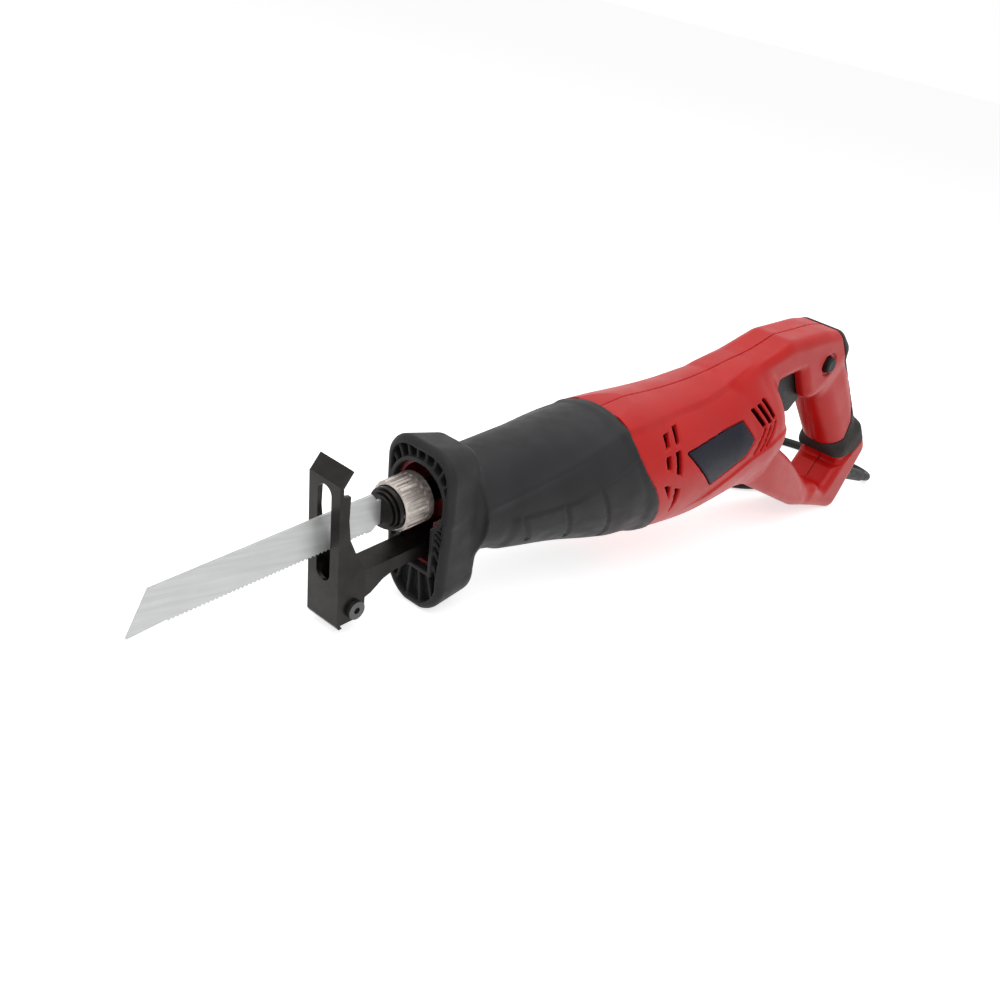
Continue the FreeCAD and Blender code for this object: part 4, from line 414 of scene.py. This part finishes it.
def capsule(x, z, start, end, radius):
    """Distance to a line of the X-Z plane with round ends."""
    dx, dz = end[0] - start[0], end[1] - start[1]
    along = np.clip(((x - start[0]) * dx + (z - start[1]) * dz) / (dx * dx + dz * dz), 0, 1)
    return np.sqrt((x - start[0] - along * dx) ** 2 + (z - start[1] - along * dz) ** 2) - radius


def along_saw(field, knots, values):
    """A number that changes evenly along the saw from one knot to the next."""
    return np.interp(field.x[:, 0, 0], knots, values)[:, None, None]


HOOD_STEP, LEDGE_STEP, HOLLOW_DEPTH = 1.5, 1.2, 0.9


def moulded_body(field):
    """The red body's skin: a round body with a raised hood, a shallow side hollow and a lower ledge."""
    skin = round_body(field)
    hood = along_saw(field, (150, 186, 215, 242, 275, 310, 325), (23, 19.5, 18.5, 15, 11, 4, -3))
    raised = rise(hood - np.abs(field.y), 2.2) * rise(field.z + 26, 8) * rise(field.x - 128, 8)
    ledge = along_saw(field, (140, 170, 200, 235, 262, 285), (-56, -56, -52, -42.5, -38, -36))
    below = rise(ledge - field.z, 2.0) * rise(field.x - 190, 30)
    hollow = np.exp(-(((field.z + 24) / 9) ** 2)) * rise(field.x - 236, 20) * rise(280 - field.x, 14)
    raised_skin = skin - HOOD_STEP * raised.astype(np.float32) - LEDGE_STEP * below
    return raised_skin + HOLLOW_DEPTH * hollow * rise(np.abs(field.y) - 16, 10)


def overmould_edge(field):
    """Distance to the soft skin of the grip in the side view, negative in it."""
    strip = [(352, 14), (357, -6), (368, -24), (385, -42), (395, -62), (399, -78), (395, -90), (384, -95),
             (360, -93), (384, -117), (400, -111), (424, -97), (460, -76), (460, 14)]
    return rounded_polygon(field, strip, 4)


# The housing's screws, on the right: distance back, height, and how far out the hole's floor is
SCREWS = [(168, -9, 17), (234, -9.5, 17), (272, -62, 12), (301, -11.3, 9), (365, -28, 9), (393, -86, 9),
          (394, -133, 9), (307, -92, 9)]
SCREW_HOLE_RADIUS = 3.3
LOCK_BUTTON = (346, -21)
BODY_WALL, HANDLE_WALL = 2.8, 3.4
SEAM_GAP = 0.12
SEAT_GAP = 0.25
SOFT_SKIN, SOFT_SEAT = 1.75, 1.9
BADGE_SEAT = 1.5


def housing_skin(field, body):
    """The outside of the motor housing and handle together, with seats for the boot and the soft grip."""
    grip = handle(field)
    skin = soft_min(soft_max(body, field.x - 287, 9), grip, 7)
    skin = np.maximum(skin, -boot_end(field) + SEAT_GAP)
    soft_room = np.maximum(overmould_edge(field), 318 - field.x)
    return np.maximum(skin, -np.maximum(soft_room - SEAT_GAP, -(grip + SOFT_SEAT)))


def cut_side_details(field, shell, body):
    """Air slots through the wall, and the grooves and the badge's seat part of the way into it."""
    far = np.abs(field.y)
    for vent in VENTS:
        shell = np.maximum(shell, -np.maximum(polygon(field.x, field.z, vent) - 0.15, 14 - far))
    for start, end in CHEVRON_FEET:
        groove = np.maximum(capsule(field.x, field.z, start, end, CHEVRON_RADIUS), -(body + CHEVRON_DEPTH))
        shell = np.maximum(shell, -np.maximum(groove, 14 - far))
    badge = np.maximum(polygon(field.x, field.z, BADGE_EDGE) - 0.5, 12 - far)
    return np.maximum(shell, -np.maximum(badge, -(body + BADGE_SEAT)))


def cut_trigger_slot(field, shell):
    """The slot in the grip's front that the trigger moves in."""
    into, along = grip_axes(field.x, field.z)
    slot = np.maximum(np.abs(into - 5.5) - 10, np.maximum(np.abs(along - 9.5) - 16, np.abs(field.y) - 8.4))
    return soft_max(shell, -slot, 1.0)


def cut_lock_button(field, shell):
    """The lock-on button's hole, in a shallow dish."""
    dish = np.sqrt((field.x - LOCK_BUTTON[0]) ** 2 + (field.z - LOCK_BUTTON[1]) ** 2)
    shell = np.maximum(shell, -np.maximum(dish - 5.3, field.y + 12))
    return soft_max(shell, -np.maximum(dish - 7.6, field.y + 15.9), 0.8)


def cut_screw_holes(field, shell):
    """The round holes that the housing's screws sit in."""
    for x, z, head in SCREWS:
        hole = np.sqrt((field.x - x) ** 2 + (field.z - z) ** 2)
        shell = np.maximum(shell, -np.maximum(hole - SCREW_HOLE_RADIUS, head - field.y))
    return shell


def housing_half(name, side):
    """One moulded half of the motor housing and handle, hollow, on one side of the parting plane."""
    low, high = ((126, -40.5, -152), (438, 1.6, 6)) if side < 0 else ((126, -1.6, -152), (438, 40.5, 6))
    field = Field(low, high, SKIN_STEP)
    body = moulded_body(field)
    body_room = np.maximum(round_body(field) + BODY_WALL, field.x - 284)
    inside = np.minimum(body_room, handle(field, HANDLE_WALL))
    shell = np.maximum(housing_skin(field, body), -inside)
    shell = cut_side_details(field, shell, body)
    shell = cut_trigger_slot(field, shell)
    shell = cut_lock_button(field, shell) if side < 0 else cut_screw_holes(field, shell)
    shell = np.maximum(shell, side * -field.y + SEAM_GAP)
    piece = field.mesh(name, shell)
    dress(piece, "housing_red")
    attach(piece, "saw")
    return piece


def soft_grip():
    """The dark soft skin round the back and the foot of the grip, with shallow channels."""
    field = Field((330, -20.5, -104), (434, 20.5, 4), SKIN_STEP)
    grip = handle(field)
    skin = np.maximum(grip - SEAT_GAP, overmould_edge(field))
    back = (field.x - 373) * 0.832 + (field.z + 20) * 0.5547
    down = (field.x - 373) * 0.5547 - (field.z + 20) * 0.832
    channels = sum(np.exp(-(((down - at) / 1.1) ** 2)) for at in (28, 42, 56))
    skin = skin + 0.8 * channels * rise(back + 15, 3)
    shell = np.maximum(skin, -(grip + SOFT_SKIN))
    piece = field.mesh("grip_skin", shell)
    dress(piece, "grip_rubber")
    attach(piece, "saw")
    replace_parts(piece, "grip_overmould")


# A screw head's section, from its back to the bottom of its socket: radius, and distance out from
# the hole's floor
SCREW_PROFILE = [(2.9, -1.0), (2.9, 1.2), (2.5, 1.7), (1.5, 1.7), (1.3, 0.5)]
SCREW_SIDES = 24


def turned_head(x, z, out, first):
    """The points and faces of one screw head, its points numbered from first."""
    points = []
    for radius, height in SCREW_PROFILE:
        for i in range(SCREW_SIDES):
            angle = math.tau * i / SCREW_SIDES
            back, up = x + radius * math.cos(angle), z + radius * math.sin(angle)
            points.append(saw_point(back, out + height, up))
    faces = []
    for ring in range(len(SCREW_PROFILE) - 1):
        low = first + ring * SCREW_SIDES
        for i in range(SCREW_SIDES):
            j = (i + 1) % SCREW_SIDES
            faces.append((low + i, low + SCREW_SIDES + i, low + SCREW_SIDES + j, low + j))
    last = first + (len(SCREW_PROFILE) - 1) * SCREW_SIDES
    faces.append([first + i for i in range(SCREW_SIDES)])
    faces.append([last + i for i in reversed(range(SCREW_SIDES))])
    return points, faces


def screw_heads():
    """The heads of the housing's screws, each at the bottom of its hole, with a round socket."""
    points, faces = [], []
    for x, z, out in SCREWS:
        more_points, more_faces = turned_head(x, z, out, len(points))
        points += more_points
        faces += more_faces
    mesh = bpy.data.meshes.new("screw_heads")
    mesh.from_pydata(points, [], faces)
    piece = bpy.data.objects.new("screw_heads", mesh)
    bpy.context.scene.collection.objects.link(piece)
    dress(piece, "screw_steel")
    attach(piece, "saw")
    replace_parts(piece, "housing_screws")


def badges():
    """The bare five-sided plates let into both sides of the body."""
    for name, side in (("badge_left", -1), ("badge_right", 1)):
        field = Field((172, min(side * 20, side * 40.5), -48), (244, max(side * 20, side * 40.5), -14), 0.5)
        body = moulded_body(field)
        slab = soft_max(body - 0.2, polygon(field.x, field.z, BADGE_EDGE) + 0.1, 0.7)
        piece = field.mesh(name, np.maximum(slab, -(body + 1.2)))
        dress(piece, "badge_navy")
        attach(piece, "saw")
        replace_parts(piece, "badge_plates")


FLANGE_FRONT, FLANGE_BACK, FLANGE_ROUNDING = 10, 35, 3.2
SLEEVE_FRONT = 33
BOOT_WALL, BOOT_ROOM_FRONT = 2.25, 35.5
TUNNEL_BACK = 34.5
PAD_GAPS = [((54, -16), (63, -33)), ((82, -19), (92, -42)), ((106, -17), (121, -54))]
CREASE_DEPTH, PAD_HEIGHT, LIP_HEIGHT = 0.9, 1.1, 0.8
RIBS, RIB_HALF_WIDTH, RIB_FRONT = 34, 0.75, 11.2
RIB_CENTRE = -10
POCKET_BACK, POCKET_RIM, KEYHOLE_RIM = 15.0, 4.0, 2.2


def boot_sleeve(field):
    """The boot's sleeve over the nose, with a crease, grip pads and a lip at its rear edge."""
    x, z = field.x, field.z
    far = np.abs(field.y)
    sleeve = round_body(field)
    crease = along_saw(field, (30, 60, 90, 130), (-5, -3, -1.5, 2))
    pad_top = along_saw(field, (35, 64, 90, 116, 140), (-14, -17, -18.5, -13.6, -9))
    crease_line = np.exp(-(((z - crease) / 2.2) ** 2))
    sleeve = sleeve - CREASE_DEPTH * crease_line * rise(far - 12, 10) * rise(x - 34, 10)
    pads = rise(pad_top - z, 1.6) * rise(x - 50, 6) * rise(136 - x, 16)
    for start, end in PAD_GAPS:
        pads = pads * rise(capsule(x, z, start, end, 1.0), 1.4)
    sleeve = sleeve - PAD_HEIGHT * pads
    lip = rise(x - 128 - 27 * (10 - z) / 85, 6)
    sleeve = sleeve - LIP_HEIGHT * lip
    return np.maximum(np.maximum(sleeve, boot_end(field)), SLEEVE_FRONT - x)


def flange_pockets(field, flange):
    """The blind pockets in the flange's front, with ribs between them that stand a little below its rim."""
    x, y, z = field.x, field.y, field.z
    spin = np.arctan2(z - RIB_CENTRE, y) * (RIBS / math.tau)
    around = np.abs(spin - np.round(spin)) * (math.tau / RIBS) * np.sqrt(y**2 + (z - RIB_CENTRE) ** 2)
    across = around - RIB_HALF_WIDTH
    depth = np.maximum(x - POCKET_BACK, np.minimum(-across, x - RIB_FRONT))
    return np.maximum(np.maximum(flange + POCKET_RIM, -keyhole(y, z, KEYHOLE_RIM)), depth)


def boot():
    """The ribbed rubber boot: a bumper flange with a keyhole, and a sleeve with grip pads."""
    field = Field((8, -41, -71), (172, 41, 29), SKIN_STEP)
    x, y, z = field.x, field.y, field.z
    flange = bumper(y, z, 0.0)
    lean = np.maximum(x - 13, 0) * (0.08 + 0.2 * rise(z, 20))
    block = plate_x(flange + lean, x, FLANGE_FRONT, FLANGE_BACK, FLANGE_ROUNDING)
    solid = soft_min(block, boot_sleeve(field), 5)
    room = np.maximum(round_body(field) + BOOT_WALL, BOOT_ROOM_FRONT - x)
    tunnel = np.maximum(keyhole(y, z, 0.0), x - TUNNEL_BACK)
    solid = np.maximum(solid, -flange_pockets(field, flange))
    solid = np.maximum(np.maximum(solid, -room), -tunnel)
    piece = field.mesh("boot_skin", solid)
    dress(piece, "boot_rubber")
    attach(piece, "saw")
    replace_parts(piece, "boot")


def bumper(y, z, inset):
    """The flange's outline seen from the front: broad above, with a round lobe below."""
    upper = plate(np.abs(z - 3.5) - 23.5 + inset, 22 - inset, y, 15 - inset)
    lobe = np.sqrt(y**2 + (z + 43) ** 2) - 19 + inset
    between = np.maximum(np.abs(y) - 22 + 0.0645 * (3.5 - z) + inset, np.abs(z + 19.75) - 23.25)
    return np.maximum(np.minimum(np.minimum(upper, lobe), between), -61.3 + inset - z)


def keyhole(y, z, outset):
    """The opening round the plunger with a foot for the shoe's bar."""
    ring = np.sqrt(y**2 + z**2) - 16.5
    foot = np.maximum(np.abs(y) - 9.5, np.maximum(z, -37.5 - z))
    return np.minimum(ring, foot) - outset


def plate_x(outline, x, front, back, rounding):
    """An outline seen from the front, between two distances back, with rounded rims."""
    middle, half = (front + back) / 2, (back - front) / 2
    return plate(outline, half, x - middle, rounding)


for half_name, half_side in (("housing_left", -1), ("housing_right", 1)):
    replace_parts(housing_half(half_name + "_shell", half_side), half_name)
soft_grip()
screw_heads()
badges()
boot()


# ---------------------------------------------------------------------------------------------
# Cord
# ---------------------------------------------------------------------------------------------
CORD_ROUTE = [(313.3, 0, 9.0), (324, 0, 6.6), (334.5, 2.6, 4.2), (342.5, 12.5, 3.3), (344, 30, 3.3),
              (341, 54, 3.3), (330, 78, 3.3), (312, 97, 3.3), (292, 109, 3.3), (270, 113.3, 3.3),
              (248, 113.3, 3.3)]
COIL_LEAD = 30.0
COIL_INNER, COIL_OUTER = 25.75, 45.25
COIL_CENTRE = (CORD_ROUTE[-1][0] - COIL_LEAD, CORD_ROUTE[-1][1] - COIL_OUTER)
COIL_LOW, COIL_HIGH = 3.3, 9.8
COIL_TURNS = 6
POINTS_PER_TURN = 24
CORD_RADIUS = 3.2


def coil_points():
    """Centreline of the coil: inwards in the lower layer, up, and outwards in the upper one."""
    points = []
    steps = COIL_TURNS * POINTS_PER_TURN
    for i in range(steps + 1):
        turn = i / POINTS_PER_TURN
        away = abs(COIL_TURNS / 2 - turn) / (COIL_TURNS / 2)
        radius = COIL_INNER + (COIL_OUTER - COIL_INNER) * away
        climb = min(1.0, max(0.0, (turn - COIL_TURNS / 2) * 4 + 0.5))
        height = COIL_LOW + (COIL_HIGH - COIL_LOW) * climb * climb * (3 - 2 * climb)
        angle = math.radians(90) + turn * math.tau
        across = COIL_CENTRE[1] + radius * math.sin(angle)
        points.append((COIL_CENTRE[0] + radius * math.cos(angle), across, height))
    return points


def cord():
    """The whole lead as one smooth round line."""
    lead_out = (COIL_CENTRE[0] - COIL_LEAD, CORD_ROUTE[-1][1], COIL_HIGH)
    route = CORD_ROUTE + coil_points() + [lead_out]
    curve = bpy.data.curves.new("cord", "CURVE")
    curve.dimensions = "3D"
    curve.bevel_depth = CORD_RADIUS * MM
    curve.bevel_resolution = 5
    curve.resolution_u = 6
    line = curve.splines.new("NURBS")
    line.points.add(len(route) - 1)
    for point, place in zip(line.points, route):
        point.co = (*(number * MM for number in place), 1)
    line.order_u = 3
    line.use_endpoint_u = True
    piece = bpy.data.objects.new("cord", curve)
    bpy.context.scene.collection.objects.link(piece)
    curve.materials.append(MATERIALS["cord_rubber"])
    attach(piece, "saw")
    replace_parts(piece, "cord_tube", "cord_coil")


cord()


# ---------------------------------------------------------------------------------------------
# Floor, light and camera
# ---------------------------------------------------------------------------------------------
FLOOR_REACH = 60.0
FLOOR_GLOW = 0.7
LIGHT_ALL_ROUND = 0.3
LAMP_TARGET = (0, 0, 0.06)


def seen_ray(tree):
    """One for rays from the camera, gloss or glass, which see the background, and nought for others."""
    rays = tree.nodes.new("ShaderNodeLightPath")
    total = rays.outputs["Is Camera Ray"]
    for kind in ("Is Glossy Ray", "Is Transmission Ray"):
        join = tree.nodes.new("ShaderNodeMath")
        join.operation = "MAXIMUM"
        tree.links.new(total, join.inputs[0])
        tree.links.new(rays.outputs[kind], join.inputs[1])
        total = join.outputs[0]
    return total


def floor():
    """A plain pale floor."""
    mesh = bpy.data.meshes.new("floor")
    reach = FLOOR_REACH
    corners = [(-reach, -reach, 0), (reach, -reach, 0), (reach, reach, 0), (-reach, reach, 0)]
    mesh.from_pydata(corners, [], [(0, 1, 2, 3)])
    made = Shader("floor_paper", (0.9, 0.9, 0.9), 0.9, Specular_IOR_Level=0.0)
    made.surface.inputs["Emission Color"].default_value = (1, 1, 1, 1)
    glow = made.node("ShaderNodeMath", operation="MULTIPLY")
    glow.inputs[1].default_value = FLOOR_GLOW
    made.tree.links.new(seen_ray(made.tree), glow.inputs[0])
    made.vary("Emission Strength", glow.outputs[0])
    mesh.materials.append(made.material)
    piece = bpy.data.objects.new("floor", mesh)
    bpy.context.scene.collection.objects.link(piece)


def lamp(name, place, size, power):
    """A square soft light aimed at the saw."""
    light = bpy.data.lights.new(name, "AREA")
    light.size = size
    light.energy = power
    piece = bpy.data.objects.new(name, light)
    piece.location = place
    piece.rotation_euler = (Vector(LAMP_TARGET) - Vector(place)).to_track_quat("-Z", "Y").to_euler()
    bpy.context.scene.collection.objects.link(piece)


# The photograph's view in the saw's frame: turn, height and roll in degrees, lengths in millimetres,
# and the focal length and the place of the clamp ring's middle as fractions of the image's side
VIEW_TURN, VIEW_HEIGHT, VIEW_ROLL = -49.08, 30.76, 5.85
VIEW_DISTANCE = 599.47
VIEW_FOCAL = 1.32665
RING_SEEN_RIGHT, RING_SEEN_DOWN = 0.401 - 0.5, 0.502 - 0.5
SENSOR_WIDTH = 36


def camera():
    """The photograph's view: from ahead, to the left and above, with a slight roll."""
    turn, height, roll = (math.radians(angle) for angle in (VIEW_TURN, VIEW_HEIGHT, VIEW_ROLL))
    flat_right = Vector((math.cos(turn), math.sin(turn), 0))
    back = Vector((math.sin(turn) * math.cos(height), -math.cos(turn) * math.cos(height), math.sin(height)))
    flat_up = back.cross(flat_right)
    right = math.cos(roll) * flat_right + math.sin(roll) * flat_up
    up = math.cos(roll) * flat_up - math.sin(roll) * flat_right
    scale = VIEW_DISTANCE / VIEW_FOCAL
    spot = -(right * RING_SEEN_RIGHT * scale - up * RING_SEEN_DOWN * scale - back * VIEW_DISTANCE)
    turned = Matrix((right, up, back)).transposed().to_4x4()
    turned.translation = spot * MM
    lens = bpy.data.cameras.new("camera")
    lens.sensor_width = SENSOR_WIDTH
    lens.lens = VIEW_FOCAL * SENSOR_WIDTH
    lens.clip_start = 0.02
    piece = bpy.data.objects.new("camera", lens)
    piece.matrix_world = SAW @ turned
    bpy.context.scene.collection.objects.link(piece)
    bpy.context.scene.camera = piece


def studio_world():
    """Soft light from all round, and plain white wherever the camera or gloss sees past the floor."""
    world = bpy.data.worlds.new("studio")
    world.use_nodes = True
    tree = world.node_tree
    around = tree.nodes["Background"]
    around.inputs["Color"].default_value = (1, 1, 1, 1)
    around.inputs["Strength"].default_value = LIGHT_ALL_ROUND
    behind = tree.nodes.new("ShaderNodeBackground")
    behind.inputs["Color"].default_value = (1, 1, 1, 1)
    behind.inputs["Strength"].default_value = 1.0
    mix = tree.nodes.new("ShaderNodeMixShader")
    tree.links.new(seen_ray(tree), mix.inputs[0])
    tree.links.new(around.outputs["Background"], mix.inputs[1])
    tree.links.new(behind.outputs["Background"], mix.inputs[2])
    tree.links.new(mix.outputs["Shader"], tree.nodes["World Output"].inputs["Surface"])
    bpy.context.scene.world = world


floor()
camera()
lamp("key", (-0.9, -1.1, 1.7), 1.4, 15)
lamp("fill", (-1.6, 0.8, 1.2), 1.6, 6)
lamp("top", (0.3, 0.2, 1.9), 1.5, 11)
studio_world()
scene = bpy.context.scene
scene.view_settings.view_transform = "Standard"
scene.render.resolution_x = scene.render.resolution_y = 1000
